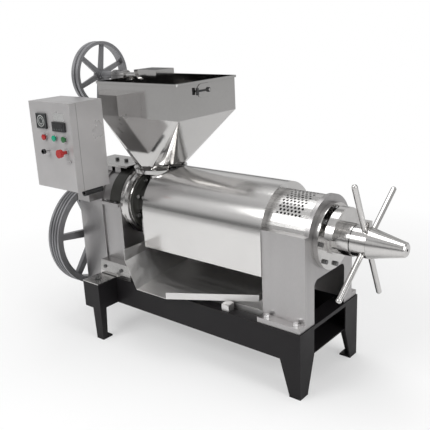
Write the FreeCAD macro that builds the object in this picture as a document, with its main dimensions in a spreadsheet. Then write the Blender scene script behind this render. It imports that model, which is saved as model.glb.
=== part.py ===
import FreeCAD, Part
import math
import os
import Sketcher
from FreeCAD import Placement, Rotation, Vector

# Screw oil press: a sheet-metal base carries a gear housing, a feed throat, a press cage
# under a half-round cover and a discharge housing in one line along X.
# Origin: midway between the two anchor holes of the discharge-end feet, on the floor.
# +X points along the press screw to the discharge end, +Z is up, Y = 0 is the screw's plane.
# Lengths are millimetres, angles are degrees.

DRIVING = dict(
    # base
    base_width=500, rail_top=308, rail_depth=138, frame_sheet=6, rail_flange=60,
    block_length=116, block_reach=121, anchor_inset=30, end_return=113,
    top_strip=80, drive_deck=180, pan_thickness=4, block_plate_thickness=4, plate_gap=3,
    leg_wide_x=103, leg_wide_y=113, leg_foot_x=57, leg_foot_y=62, leg_sheet=8,
    block_leg_x=58, block_leg_y=40, block_leg_foot_x=50, block_leg_foot_y=30,
    foot_width=62, foot_thickness=8, anchor_radius=7, anchor_side=40,
    # lines that everything is placed by
    axis_height=675, portal_setback=5,
    # gear housing and its end case
    sill_length=226, sill_height=76, sill_front=22, sill_lean=12,
    housing_length=120, housing_inset=2, housing_half=176, flange_height=30, flange_lip=4,
    cap_radius=172, cap_foot_reach=24, cap_foot_height=18, band_radius=178, band_length=74, band_inset=4,
    joint_length=24, joint_radius=168, case_length=183, case_radius=176, case_floor=200,
    pad_half=85, cover_plate_half=92, cover_plate_thickness=10, cover_plate_length=296, cover_plate_inset=10, pad_rise=180,
    drive_offset=46, drive_drop=235, input_radius=28, input_cap_radius=64, input_cap_thickness=9,
    # output flange, feed chamber and throat
    output_length=52, output_radius=177, disc_radius=150, disc_thickness=10,
    chamber_outer=110, chamber_inner=75, chamber_length=136, chamber_overlap=10, throat_station=71, throat_bore=56, throat_wall=6,
    throat_rise=191, throat_mouth=103, throat_flare=26, throat_flange_radius=135,
    throat_flange_thickness=12, saddle_drop=70, saddle_height=85, saddle_half=110, saddle_length=85,
    pedestal_half=85, pedestal_inset=10,
    # press screw
    screw_shaft=28, screw_core=46, flight_radius=72, flight_thickness=12, running_gap=0.05,
    screw_seat=80, screw_turns=7, flight_taper=0.6,
    # press cage and its cover
    cage_outer=98, cage_ring_radius=112, cage_ring_length=26, cage_rings=6, cage_outlet=60,
    cover_radius=205, cover_sheet=3, cover_length=708, cover_skirt=170, notch_radius=141, neck_clearance=4,
    # discharge housing, guard and end bearing
    portal_length=217, portal_half=200, roof_rise=43, portal_wall=10, portal_foot=45, roof_half=150,
    portal_foot_thickness=25, outlet_half=128, outlet_top=510, outlet_corner=30,
    guard_radius=170, guard_sheet=2, arch_radius=178, arch_thickness=20,
    end_flange_radius=145, end_flange_thickness=25, neck_radius=70, neck_length=96,
    neck_collar=76, neck_collar_length=14, yoke_radius=133, yoke_cut=30, yoke_start=45, yoke_length=36,
    # adjuster at the screw's end
    sleeve_radius=35, sleeve_bore=29, sleeve_seat=76, sleeve_reach=52, hub_radius=66, hub_length=69,
    hub_gap=2, nose_base=64, nose_tip=31, nose_length=152, nose_round=5, tip_hole=6, tip_hole_depth=12,
    bar_radius=12, bar_reach=287, bar_root=38, bar_station=50, bar_lean_first=24.6,
    bar_lean_second=36.3, lug_width=26, lug_height=34, lug_length=30,
    # tray and oil box
    tray_left=920, tray_lip_left=852, tray_lip_right=655, tray_lip_reach=80, tray_lip_height=330,
    tray_slope=0.1, tray_right=253, tray_right_reach=108, tray_back=215, tray_fold=465,
    tray_wall_top=524, tray_upstand=32, tray_sheet=2.5, tray_post=40,
    tray_post_inset=10, tray_post_first=60, tray_post_last=140,
    box_length=417, box_half=184, box_right=203, box_floor=250, box_top=334, box_wall=4,
    # hopper
    bin_left=183, bin_right=335, bin_half=206, bin_rise=443, bin_height=163, cone_bends=6,
    bin_sheet=3, cone_foot=112, rim_width=8, rim_height=10, notch_half=22, notch_depth=16,
    # feeder over the hopper
    feeder_length=150, feeder_width=125, feeder_height=142, feeder_rise=43, feeder_boss=45,
    feeder_boss_depth=12, feeder_boss_inset=46, feed_drop=36, feed_shaft=12, bearing_radius=27, bearing_length=92,
    bearing_left=285, bracket_half=32, bracket_thickness=7, bracket_left=345, snout_radius=17,
    auger_shaft=14, auger_radius=50, auger_turns=5, auger_reach=66, auger_flight_rise=254,
    auger_thickness=6,
    # side latch of the hopper
    latch_plate_length=108, latch_plate_height=62, latch_plate_thickness=4, latch_mid_y=-18,
    latch_drop=45, latch_pivot_radius=6, latch_arm_length=84, latch_arm_height=8,
    latch_arm_thickness=5, latch_grip_radius=7, latch_grip_length=31,
    # pulleys
    drive_pulley_radius=297, drive_pulley_width=85, drive_rim=34, drive_hub=58, drive_hub_length=70,
    drive_spoke_width=44, drive_spoke_thickness=24, drive_gap=10, drive_spoke_turn=7,
    feed_pulley_radius=170, feed_pulley_width=50, feed_rim=17, feed_hub=24, feed_spoke_width=29,
    feed_spoke_thickness=14, feed_spoke_turn=100, feed_pulley_left=424, groove_depth=11, groove_pitch=22, groove_mouth=15,
    groove_floor=7,
    # control cabinet
    cabinet_left=415, cabinet_width=305, cabinet_depth=195, cabinet_rise=143, cabinet_height=418,
    cabinet_back=255, cabinet_sheet=2, door_depth=38, door_gap=1.5, bracket_plate=6,
    bracket_plate_width=90, bracket_inset=45, bracket_drop=120, bracket_rise=90, gland_radius=16, gland_length=108,
    gland_bore=9, hinge_radius=5, hinge_length=50, hinge_margin=60,
    meter_size=72, meter_depth=8, controller_width=92, controller_height=44, controller_depth=10,
    bezel_radius=15, bezel_depth=7, button_radius=11.5, button_depth=14,
    knob_radius=9, knob_head=18, knob_neck_radius=6, knob_neck_length=22, knob_tail=8,
    stop_radius=20, stop_head=16, stop_stem_radius=9, stop_stem_length=24, stop_base_radius=16,
    stop_base_depth=10, lock_radius=7, lock_depth=6,
    meter_across=212, meter_up=328, controller_across=84, controller_up=307, buttons_up=251,
    red_across=200, teal_across=123, green_across=52, knob_across=184, knob_up=187,
    stop_across=50, stop_up=190, lock_across=30, lock_up=145,
    # fasteners
    portal_bolt_near=34, portal_bolt_far=180, stud_inset_x=54, stud_inset_y=47, cap_bolt_near=28,
    cap_bolt_far=92, lid_nut_inset=48, bolt_across=19, bolt_head=12, small_bolt_across=13, small_bolt_head=8,
    throat_bolt_across=10, throat_bolt_head=5, throat_bolt_edge=6,
)


class Size:
    """A length with its number and the expression text that the document binds to."""

    def __init__(self, number, text):
        self.number = number
        self.text = text

    def combine(self, other, sign, number):
        return Size(number, f"({self.text} {sign} {other.text})")

    def __add__(self, other):
        other = sized(other)
        return self.combine(other, "+", self.number + other.number)

    def __sub__(self, other):
        other = sized(other)
        return self.combine(other, "-", self.number - other.number)

    def __mul__(self, other):
        other = sized(other)
        return self.combine(other, "*", self.number * other.number)

    def __truediv__(self, other):
        other = sized(other)
        return self.combine(other, "/", self.number / other.number)

    def __radd__(self, other):
        return sized(other) + self

    def __rsub__(self, other):
        return sized(other) - self

    def __rmul__(self, other):
        return sized(other) * self

    def __neg__(self):
        return sized(0) - self


def sized(value):
    """A plain number or a Size, as a Size."""
    return value if isinstance(value, Size) else Size(float(value), repr(float(value)))


def cosine(angle):
    angle = sized(angle)
    return Size(math.cos(math.radians(angle.number)), f"cos({angle.text})")


def sine(angle):
    angle = sized(angle)
    return Size(math.sin(math.radians(angle.number)), f"sin({angle.text})")


def root(value):
    return Size(math.sqrt(value.number), f"sqrt({value.text})")


doc = FreeCAD.newDocument("ScrewOilPress")
sheet = doc.addObject("Spreadsheet::Sheet", "Sizes")
for row, (alias, amount) in enumerate(DRIVING.items(), start=1):
    sheet.set(f"A{row}", alias)
    sheet.set(f"B{row}", str(amount))
    sheet.setAlias(f"B{row}", alias)
doc.recompute()


class Sheet:
    """Attribute access to the spreadsheet: S.base_width is that cell as a Size."""

    def __getattr__(self, alias):
        return Size(float(getattr(sheet, alias)), f"Sizes.{alias}")


S = Sheet()
NODES = {}


# ---------------------------------------------------------------- building helpers

def bind(item, prop, value):
    """Ties one property to an expression, or sets it when the value is a plain number."""
    value = sized(value)
    if "Sizes." in value.text:
        item.setExpression(prop, value.text)
    else:
        item.setExpression(prop, value.text)


def node(name, item):
    """Keeps an object as a sub-part: its Label names the STEP file."""
    item.Label = name
    NODES[name] = item
    return item


def place(item, x=0, y=0, z=0, rotation=None):
    item.Placement = Placement(Vector(0, 0, 0), rotation or Rotation())
    for axis, value in (("x", x), ("y", y), ("z", z)):
        bind(item, f"Placement.Base.{axis}", value)
    return item


def box(name, low, high):
    """A Part::Box between two corners."""
    item = doc.addObject("Part::Box", name)
    for prop, start, end in zip(("Length", "Width", "Height"), low, high):
        bind(item, prop, sized(end) - start)
    return place(item, *low)


TURNS = {
    "X": Rotation(Vector(0, 1, 0), 90),
    "Y": Rotation(Vector(1, 0, 0), -90),
    "-Y": Rotation(Vector(1, 0, 0), 90),
    "Z": Rotation(),
}


def rod(name, radius, length, start, axis="X"):
    """A Part::Cylinder whose base centre is start and that runs along an axis."""
    item = doc.addObject("Part::Cylinder", name)
    bind(item, "Radius", radius)
    bind(item, "Height", length)
    return place(item, *start, rotation=TURNS[axis])


def cut(name, base, *tools):
    item = doc.addObject("Part::Cut", name)
    item.Base = base
    item.Tool = tools[0] if len(tools) == 1 else fuse(name + "Tools", *tools)
    return item


def fuse(name, *parts):
    item = doc.addObject("Part::MultiFuse", name)
    item.Shapes = list(parts)
    item.Refine = True
    return item


def common(name, base, tool):
    item = doc.addObject("Part::Common", name)
    item.Base = base
    item.Tool = tool
    return item


def group(name, items):
    """One node of separate solids, such as a set of bolts."""
    item = doc.addObject("Part::Compound", name)
    item.Links = list(items)
    return node(name, item)


def bolts(name, places, axis="X", across=None, head=None):
    """Hexagon heads that seat on a face: each place is the middle of its seat."""
    across = across or S.bolt_across
    head = head or S.bolt_head
    made = []
    for number, start in enumerate(places):
        item = doc.addObject("Part::Prism", f"{name}{number}")
        item.Polygon = 6
        bind(item, "Circumradius", across / math.sqrt(3))
        bind(item, "Height", head)
        made.append(place(item, *start, rotation=TURNS[axis]))
    return made


def ring_places(x, radius, count, start_angle, centre_z):
    """Places evenly round the screw axis at one station x."""
    places = []
    for number in range(count):
        angle = sized(start_angle) + 360.0 / count * number
        places.append((x, radius * cosine(angle), centre_z + radius * sine(angle)))
    return places


def body(name):
    return doc.addObject("PartDesign::Body", name)


def sketch_on(owner, role, offset=0, shift_x=0, shift_y=0):
    """A sketch on one of the body's origin planes, moved along its own axes."""
    sketch = owner.newObject("Sketcher::SketchObject", owner.Name + "Sketch")
    plane = [feature for feature in owner.Origin.OriginFeatures if feature.Role == role][0]
    sketch.AttachmentSupport = [(plane, "")]
    sketch.MapMode = "FlatFace"
    for axis, value in (("x", shift_x), ("y", shift_y), ("z", offset)):
        bind(sketch, f"AttachmentOffset.Base.{axis}", value)
    return sketch


def fix(sketch, kind, geometry, point, value):
    """Ties one coordinate of a sketch point to the sheet, measured from the sketch origin."""
    index = sketch.addConstraint(Sketcher.Constraint(kind, -1, 1, geometry, point, value.number))
    sketch.setExpression(f"Constraints[{index}]", value.text)


def polygon(sketch, points):
    points = [(sized(x), sized(y)) for x, y in points]
    first = sketch.GeometryCount
    count = len(points)
    for number, (x, y) in enumerate(points):
        next_x, next_y = points[(number + 1) % count]
        sketch.addGeometry(Part.LineSegment(Vector(x.number, y.number, 0),
                                            Vector(next_x.number, next_y.number, 0)), False)
    for number in range(count):
        sketch.addConstraint(Sketcher.Constraint(
            "Coincident", first + number, 2, first + (number + 1) % count, 1))
    for number, (x, y) in enumerate(points):
        fix(sketch, "DistanceX", first + number, 1, x)
        fix(sketch, "DistanceY", first + number, 1, y)
    return sketch


def circle(sketch, x, y, radius):
    x, y, radius = sized(x), sized(y), sized(radius)
    index = sketch.addGeometry(Part.Circle(Vector(x.number, y.number, 0), Vector(0, 0, 1),
                                           radius.number), False)
    fix(sketch, "DistanceX", index, 3, x)
    fix(sketch, "DistanceY", index, 3, y)
    size = sketch.addConstraint(Sketcher.Constraint("Radius", index, radius.number))
    sketch.setExpression(f"Constraints[{size}]", radius.text)
    return sketch


def arch(sketch, radius, spring, floor):
    """A half circle on straight sides: flat floor, sides to the spring line, round top."""
    radius, spring, floor = sized(radius), sized(spring), sized(floor)
    r, s, f = radius.number, spring.number, floor.number
    first = sketch.GeometryCount
    sketch.addGeometry(Part.LineSegment(Vector(-r, f, 0), Vector(r, f, 0)), False)
    sketch.addGeometry(Part.LineSegment(Vector(r, f, 0), Vector(r, s, 0)), False)
    round_top = Part.Circle(Vector(0, s, 0), Vector(0, 0, 1), r)
    sketch.addGeometry(Part.ArcOfCircle(round_top, 0, math.pi), False)
    sketch.addGeometry(Part.LineSegment(Vector(-r, s, 0), Vector(-r, f, 0)), False)
    for one, other in ((0, 1), (3, 0)):
        sketch.addConstraint(Sketcher.Constraint("Coincident", first + one, 2, first + other, 1))
    sketch.addConstraint(Sketcher.Constraint("Coincident", first + 1, 2, first + 2, 1))
    sketch.addConstraint(Sketcher.Constraint("Coincident", first + 2, 2, first + 3, 1))
    fix(sketch, "DistanceX", first, 1, -radius)
    fix(sketch, "DistanceY", first, 1, floor)
    fix(sketch, "DistanceX", first, 2, radius)
    fix(sketch, "DistanceY", first, 2, floor)
    fix(sketch, "DistanceX", first + 1, 2, radius)
    fix(sketch, "DistanceY", first + 1, 2, spring)
    fix(sketch, "DistanceX", first + 3, 1, -radius)
    fix(sketch, "DistanceY", first + 3, 1, spring)
    fix(sketch, "DistanceY", first + 2, 3, spring)
    return sketch


def rounded(sketch, low, high, radius):
    """A rectangle with four equal corner arcs."""
    x0, y0, x1, y1 = (sized(value) for value in (*low, *high))
    radius = sized(radius)
    a, b, c, d, r = x0.number, y0.number, x1.number, y1.number, radius.number
    lines = (((a + r, b), (c - r, b)), ((c, b + r), (c, d - r)),
             ((c - r, d), (a + r, d)), ((a, d - r), (a, b + r)))
    centres = ((c - r, b + r, 1.5), (c - r, d - r, 0), (a + r, d - r, 0.5), (a + r, b + r, 1))
    first = sketch.GeometryCount
    for (start, end), (x, y, turn) in zip(lines, centres):
        sketch.addGeometry(Part.LineSegment(Vector(*start, 0), Vector(*end, 0)), False)
        corner = Part.Circle(Vector(x, y, 0), Vector(0, 0, 1), r)
        sketch.addGeometry(Part.ArcOfCircle(corner, turn * math.pi, (turn + 0.5) * math.pi), False)
    for number in range(4):
        line = first + 2 * number
        following = first + (2 * number + 2) % 8
        sketch.addConstraint(Sketcher.Constraint("Tangent", line, 2, line + 1, 1))
        sketch.addConstraint(Sketcher.Constraint("Tangent", line + 1, 2, following, 1))
    for number in range(3):
        sketch.addConstraint(Sketcher.Constraint("Equal", first + 1, first + 3 + 2 * number))
    sketch.addConstraint(Sketcher.Constraint("Horizontal", first))
    sketch.addConstraint(Sketcher.Constraint("Vertical", first + 2))
    size = sketch.addConstraint(Sketcher.Constraint("Radius", first + 1, r))
    sketch.setExpression(f"Constraints[{size}]", radius.text)
    fix(sketch, "DistanceY", first, 1, y0)
    fix(sketch, "DistanceX", first + 2, 1, x1)
    fix(sketch, "DistanceY", first + 4, 1, y1)
    fix(sketch, "DistanceX", first + 6, 1, x0)
    return sketch


def pad(owner, sketch, length):
    feature = owner.newObject("PartDesign::Pad", owner.Name + "Pad")
    feature.Profile = sketch
    bind(feature, "Length", length)
    return feature


def pocket(owner, sketch, length, forward=False):
    """Cuts against the sketch's normal, or along it when forward is set."""
    feature = owner.newObject("PartDesign::Pocket", owner.Name + "Pocket")
    feature.Profile = sketch
    bind(feature, "Length", length)
    feature.Reversed = forward
    return feature


def turn(owner, sketch, axis="H_Axis"):
    feature = owner.newObject("PartDesign::Revolution", owner.Name + "Turn")
    feature.Profile = sketch
    feature.ReferenceAxis = (sketch, [axis])
    feature.Angle = 360
    return feature


def turned(name, profile, centre_z, centre_y=0):
    """A body turned about a line along X: profile points are (x, radius)."""
    item = body(name)
    sketch = sketch_on(item, "XZ_Plane", offset=-sized(centre_y), shift_y=centre_z)
    turn(item, polygon(sketch, profile))
    return item


def feature(name, shape):
    item = doc.addObject("Part::Feature", name)
    item.Shape = shape
    return item


# ---------------------------------------------------------------- stations along X and other lines

frame_end = S.anchor_inset
portal_end = frame_end - S.portal_setback
portal_left = portal_end - S.portal_length
cover_left = portal_left - S.cover_length
chamber_right = cover_left + S.chamber_overlap
disc_right = chamber_right - S.chamber_length
throat_x = disc_right + S.throat_station
disc_left = disc_right - S.disc_thickness
housing_right = disc_left - S.output_length
housing_left = housing_right - S.housing_length
case_right = housing_left - S.joint_length
case_left = case_right - S.case_length
block_left = housing_left - S.housing_inset
frame_left = block_left + S.block_length
front = -S.base_width / 2
block_front = front - S.block_reach
rail_bottom = S.rail_top - S.rail_depth
drive_z = S.axis_height - S.drive_drop
drive_y = -S.drive_offset
pulley_right = case_left - S.drive_gap
pulley_left = pulley_right - S.drive_pulley_width
neck_left = portal_end + S.end_flange_thickness
neck_right = neck_left + S.neck_length
hub_left = neck_right + S.hub_gap
hub_right = hub_left + S.hub_length
roof_top = S.axis_height + S.roof_rise
pad_top = S.axis_height + S.pad_rise
saddle_top = S.axis_height - S.saddle_drop
throat_top = S.axis_height + S.throat_rise
bin_top = throat_top + S.bin_rise
cone_top = bin_top - S.bin_height
bin_x0 = throat_x - S.bin_left
bin_x1 = throat_x + S.bin_right
feeder_top = bin_top + S.feeder_rise
feeder_floor = feeder_top - S.feeder_height
feed_height = feeder_top - S.feed_drop
feeder_left = throat_x - S.feeder_length / 2
latch_z = bin_top - S.latch_drop
cabinet_floor = S.axis_height + S.cabinet_rise
cabinet_x0 = throat_x - S.cabinet_left
cabinet_x1 = cabinet_x0 + S.cabinet_width
cabinet_rear = -S.cabinet_back
cabinet_front = cabinet_rear - S.cabinet_depth
door_back = cabinet_front + S.door_depth


# ---------------------------------------------------------------- base

def make_base_frame():
    """Bent sheet frame: two rails, a forward block at the drive end, open at the far end."""
    item = body("base_frame")
    outline = [(block_left, block_front), (frame_left, block_front), (frame_left, front),
               (frame_end, front), (frame_end, -front), (block_left, -front)]
    pad(item, polygon(sketch_on(item, "XY_Plane", rail_bottom), outline), S.rail_depth)
    wall = S.frame_sheet
    inside = [(block_left + wall, block_front + wall), (frame_left - wall, block_front + wall),
              (frame_left - wall, front + wall), (frame_end - wall, front + wall),
              (frame_end - wall, -front - wall), (block_left + wall, -front - wall)]
    pocket(item, polygon(sketch_on(item, "XY_Plane", S.rail_top - wall), inside), S.rail_depth)
    well = sketch_on(item, "XY_Plane", S.rail_top)
    low = (frame_left + S.drive_deck, front + S.rail_flange)
    high = (frame_end - S.top_strip, -front - S.rail_flange)
    pocket(item, polygon(well, [low, (high[0], low[1]), high, (low[0], high[1])]), wall * 2)
    end = sketch_on(item, "YZ_Plane", frame_end)
    side = front + S.end_return
    window = [(side, rail_bottom - 1), (-side, rail_bottom - 1), (-side, S.rail_top - wall * 3),
              (side, S.rail_top - wall * 3)]
    pocket(item, polygon(end, window), wall * 2)
    return node("base_frame", item)


def make_base_pan():
    wall = S.frame_sheet
    return node("base_pan", box("base_pan", (frame_left, front + wall, rail_bottom),
                                (frame_end - wall, -front - wall, rail_bottom + S.pan_thickness)))


def make_leg(name, corner, side, wide, foot):
    """An L-section leg that tapers from the rail to its foot plate."""
    item = body(name)
    sections = []
    for height, (length, width) in ((S.foot_thickness, foot), (rail_bottom, wide)):
        x, y = sized(corner[0]), sized(corner[1])
        sheet_x, sheet_y = x - S.leg_sheet, y + S.leg_sheet * side
        far_x, far_y = x - length, y + width * side
        outline = [(x, y), (far_x, y), (far_x, sheet_y), (sheet_x, sheet_y), (sheet_x, far_y),
                   (x, far_y)]
        sections.append(polygon(sketch_on(item, "XY_Plane", height), outline))
    loft = item.newObject("PartDesign::AdditiveLoft", name + "Loft")
    loft.Profile = sections[0]
    loft.Sections = [sections[1]]
    loft.Ruled = True
    return item


def leg_corners():
    wide, foot = (S.leg_wide_x, S.leg_wide_y), (S.leg_foot_x, S.leg_foot_y)
    block_wide = (S.block_leg_x, S.block_leg_y)
    block_foot = (S.block_leg_foot_x, S.block_leg_foot_y)
    return {
        "leg_front_discharge": ((frame_end, front), 1, wide, foot),
        "leg_rear_discharge": ((frame_end, -front), -1, wide, foot),
        "leg_front_drive": ((frame_left, block_front), 1, block_wide, block_foot),
        "leg_rear_drive": ((frame_left, -front), -1, block_wide, block_foot),
    }


def make_legs():
    corners = leg_corners()
    legs = [make_leg(name, *values) for name, values in corners.items()]
    group("legs", legs)
    plates = []
    for name, ((x, y), side, _, (foot_length, _)) in corners.items():
        inner = y + S.foot_width * side
        low, high = (y, inner) if side > 0 else (inner, y)
        plate = box(name + "Plate", (x - foot_length, low, 0), (x, high, S.foot_thickness))
        hole = rod(name + "Hole", S.anchor_radius, S.foot_thickness,
                   (x - S.anchor_inset, y + S.anchor_side * side, 0), "Z")
        plates.append(cut(name + "Foot", plate, hole))
    group("foot_plates", plates)


def make_block_plate():
    return node("block_plate", box(
        "block_plate", (block_left, block_front, S.rail_top),
        (frame_left, front - S.plate_gap, S.rail_top + S.block_plate_thickness)))


# ---------------------------------------------------------------- gear housing

def make_sills():
    """Front and rear foot bars that carry the gear housing on the rails."""
    low, top = S.rail_top, S.rail_top + S.sill_height
    out = S.housing_half + (S.base_width / 2 - S.housing_half) - 2
    step = low + S.sill_front
    bars = []
    for name, side in (("sill_front", -1), ("sill_rear", 1)):
        item = body(name)
        profile = [(out * side, low), (out * side, step), ((out - S.sill_lean) * side, top),
                   (S.housing_half * side, top), (S.housing_half * side, low)]
        pad(item, polygon(sketch_on(item, "YZ_Plane", block_left), profile), S.sill_length)
        bars.append(item)
    group("gearbox_sills", bars)


def make_housing():
    """Lower gear housing: a box with a thicker flange at the screw's height."""
    item = body("gearbox_housing")
    half = S.housing_half
    outline = [(-half, S.rail_top), (half, S.rail_top), (half, S.axis_height),
               (-half, S.axis_height)]
    pad(item, polygon(sketch_on(item, "YZ_Plane", housing_left), outline), S.housing_length)
    wide = half + S.flange_lip
    flange_low = S.axis_height - S.flange_height
    flange = [(-wide, flange_low), (wide, flange_low), (wide, S.axis_height),
              (-wide, S.axis_height)]
    pad(item, polygon(sketch_on(item, "YZ_Plane", housing_left), flange), S.housing_length)
    seat = circle(sketch_on(item, "YZ_Plane", housing_right), 0, S.axis_height,
                  S.screw_shaft + S.running_gap)
    pocket(item, seat, S.screw_seat)
    return node("gearbox_housing", item)


def make_cap():
    """Half-round housing cap with side feet and a pad for the flat cover plate."""
    whole = rod("cap_whole", S.cap_radius, S.housing_length, (housing_left, 0, S.axis_height))
    upper = box("cap_upper", (housing_left, -S.cap_radius, S.axis_height),
                (housing_right, S.cap_radius, S.axis_height + S.cap_radius))
    seat = rod("cap_seat", S.screw_shaft + S.running_gap, S.screw_seat,
               (housing_right - S.screw_seat, 0, S.axis_height))
    cap = cut("cap_arch", common("cap_half", whole, upper), seat)
    reach = S.cap_radius + S.cap_foot_reach
    bore = rod("cap_foot_bore", S.cap_radius, S.housing_length,
               (housing_left, 0, S.axis_height))
    feet = cut("cap_feet", box("cap_feet_bar", (housing_left, -reach, S.axis_height),
                               (housing_right, reach, S.axis_height + S.cap_foot_height)), bore)
    strip_right = housing_right - S.band_inset - S.band_length
    pad_bar = box("cap_pad", (housing_left, -S.pad_half, S.axis_height + S.cap_radius / 2),
                  (strip_right, S.pad_half, pad_top))
    hollow = rod("cap_pad_bore", S.cap_radius - 1, S.housing_length,
                 (housing_left, 0, S.axis_height))
    return node("gearbox_cap", fuse("gearbox_cap", cap, feet, cut("cap_pad_cut", pad_bar, hollow)))


def make_cap_band():
    """A close-fitting half-round band round the cap."""
    start = housing_right - S.band_inset - S.band_length
    outer = rod("band_outer", S.band_radius, S.band_length, (start, 0, S.axis_height))
    inner = rod("band_inner", S.cap_radius, S.band_length, (start, 0, S.axis_height))
    ring = cut("band_ring", outer, inner)
    keep = box("band_keep", (start, -S.band_radius, S.axis_height + S.cap_foot_height),
               (start + S.band_length, S.band_radius, S.axis_height + S.band_radius * 2))
    return node("cap_band", common("cap_band", ring, keep))


def make_end_case():
    """Closed case for the drive gears, hanging past the drive end of the base."""
    item = body("end_case_arch")
    pad(item, arch(sketch_on(item, "YZ_Plane", case_left), S.case_radius, S.axis_height,
                   S.case_floor), S.case_length)
    pad(item, arch(sketch_on(item, "YZ_Plane", case_right), S.joint_radius, S.axis_height,
                   S.rail_top + S.flange_height), S.joint_length)
    collar = sketch_on(item, "YZ_Plane", case_left - S.input_cap_thickness)
    pad(item, circle(collar, drive_y, drive_z, S.input_cap_radius), S.input_cap_thickness)
    seat = sketch_on(item, "YZ_Plane", case_left - S.input_cap_thickness)
    pocket(item, circle(seat, drive_y, drive_z, S.input_radius + S.running_gap),
           S.case_length / 2 + S.input_cap_thickness, forward=True)
    top_bar = box("case_pad", (case_left, -S.pad_half, S.axis_height + S.case_radius / 2),
                  (case_right, S.pad_half, pad_top))
    hollow = rod("case_pad_bore", S.case_radius - 1, S.case_length,
                 (case_left, 0, S.axis_height))
    return node("end_gear_case", fuse("end_gear_case", item, cut("case_pad_cut", top_bar, hollow)))


def make_cover_plate():
    return node("inspection_cover", box(
        "inspection_cover", (case_left + S.cover_plate_inset, -S.cover_plate_half, pad_top),
        (case_left + S.cover_plate_inset + S.cover_plate_length, S.cover_plate_half,
         pad_top + S.cover_plate_thickness)))


def make_output_flange():
    """Stepped bearing housing between the gear housing and the feed chamber."""
    bore = S.screw_shaft + S.running_gap
    radius = S.output_radius
    third = S.output_length / 3
    profile = [(housing_right, bore), (housing_right, radius), (housing_right + third, radius),
               (housing_right + third + 5, radius - 7), (disc_left - 10, radius - 11),
               (disc_left - 6, radius - 21), (disc_left, radius - 21), (disc_left, bore)]
    node("output_flange", turned("output_flange", profile, S.axis_height))
    bore = S.screw_shaft + 2
    disc = [(disc_left, bore), (disc_left, S.disc_radius), (disc_right, S.disc_radius),
            (disc_right, bore)]
    node("feed_disc", turned("feed_disc", disc, S.axis_height))
    heads = bolts("feed_disc_bolt", ring_places(disc_right, S.disc_radius - 22, 8, 22.5,
                                                S.axis_height))
    group("feed_disc_bolts", heads)


# ---------------------------------------------------------------- feed chamber, throat and cage

def make_feed_chamber():
    """Barrel under the hopper: worm bore, round throat and a flared mouth with its flange."""
    mid = S.axis_height
    chamber = rod("chamber_outer", S.chamber_outer, S.chamber_length, (disc_right, 0, mid))
    neck_top = throat_top - S.throat_flange_thickness - S.throat_flare
    neck = rod("throat_outer", S.throat_bore + S.throat_wall, neck_top - mid,
               (throat_x, 0, mid), "Z")
    flare = doc.addObject("Part::Cone", "throat_flare")
    bind(flare, "Radius1", S.throat_bore + S.throat_wall)
    bind(flare, "Radius2", S.throat_mouth + S.throat_wall)
    bind(flare, "Height", S.throat_flare)
    place(flare, throat_x, 0, neck_top)
    flange = rod("throat_flange", S.throat_flange_radius, S.throat_flange_thickness,
                 (throat_x, 0, throat_top - S.throat_flange_thickness), "Z")
    solid = fuse("chamber_solid", chamber, neck, flare, flange)
    worm_bore = rod("chamber_bore", S.chamber_inner, S.chamber_length, (disc_right, 0, mid))
    throat_bore = rod("throat_bore", S.throat_bore, neck_top - mid, (throat_x, 0, mid), "Z")
    funnel = doc.addObject("Part::Cone", "throat_funnel")
    bind(funnel, "Radius1", S.throat_bore)
    bind(funnel, "Radius2", S.throat_mouth)
    bind(funnel, "Height", S.throat_flare)
    place(funnel, throat_x, 0, neck_top)
    mouth = rod("throat_mouth", S.throat_mouth, S.throat_flange_thickness,
                (throat_x, 0, throat_top - S.throat_flange_thickness), "Z")
    return node("feed_chamber", cut("feed_chamber", solid, worm_bore, throat_bore, funnel, mouth))


def make_saddle():
    """Cradle and pedestal that carry the feed chamber on the base."""
    left = disc_right + S.bolt_head + 4
    right = left + S.saddle_length
    low = saddle_top - S.saddle_height
    cradle = box("saddle_block", (left, -S.saddle_half, low), (right, S.saddle_half, saddle_top))
    leg = box("saddle_leg", (left + S.pedestal_inset, -S.pedestal_half, S.rail_top),
              (right - S.pedestal_inset, S.pedestal_half, low))
    hollow = rod("saddle_hollow", S.chamber_outer, S.saddle_length, (left, 0, S.axis_height))
    return node("feed_saddle", cut("feed_saddle", fuse("saddle_solid", cradle, leg), hollow))


def make_throat_bolts():
    radius = S.throat_flange_radius - S.throat_bolt_edge
    places = []
    for number in range(8):
        angle = 22.5 + 45.0 * number
        places.append((throat_x + radius * cosine(angle), radius * sine(angle),
                       throat_top + S.bin_sheet * 2))
    group("throat_bolts", bolts("throat_bolt", places, "Z", S.throat_bolt_across,
                                S.throat_bolt_head))


def make_cage():
    """Press cage: a barrel of rings whose gaps let the oil out, clamped by thicker rings."""
    left = disc_right + S.chamber_length
    right = portal_left + S.cage_outlet
    length = right - left
    profile = [(left, S.chamber_inner)]
    pitch = length / S.cage_rings
    for number in range(int(S.cage_rings.number)):
        start = left + pitch * number
        profile.append((start, S.cage_ring_radius))
        profile.append((start + S.cage_ring_length, S.cage_ring_radius))
        profile.append((start + S.cage_ring_length, S.cage_outer))
        profile.append((start + pitch, S.cage_outer))
    profile.append((right, S.chamber_inner))
    item = turned("press_cage", profile, S.axis_height)
    slots = sketch_on(item, "XY_Plane", S.axis_height - S.cage_outer - 20)
    for number in range(int(S.cage_rings.number)):
        start = left + pitch * number + S.cage_ring_length + 12
        end = left + pitch * (number + 1) - 12
        for offset in (-30, -10, 10, 30):
            polygon(slots, [(start, offset - 3), (end, offset - 3), (end, offset + 3),
                            (start, offset + 3)])
    pocket(item, slots, S.cage_outer, forward=True)
    return node("press_cage", item)


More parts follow.
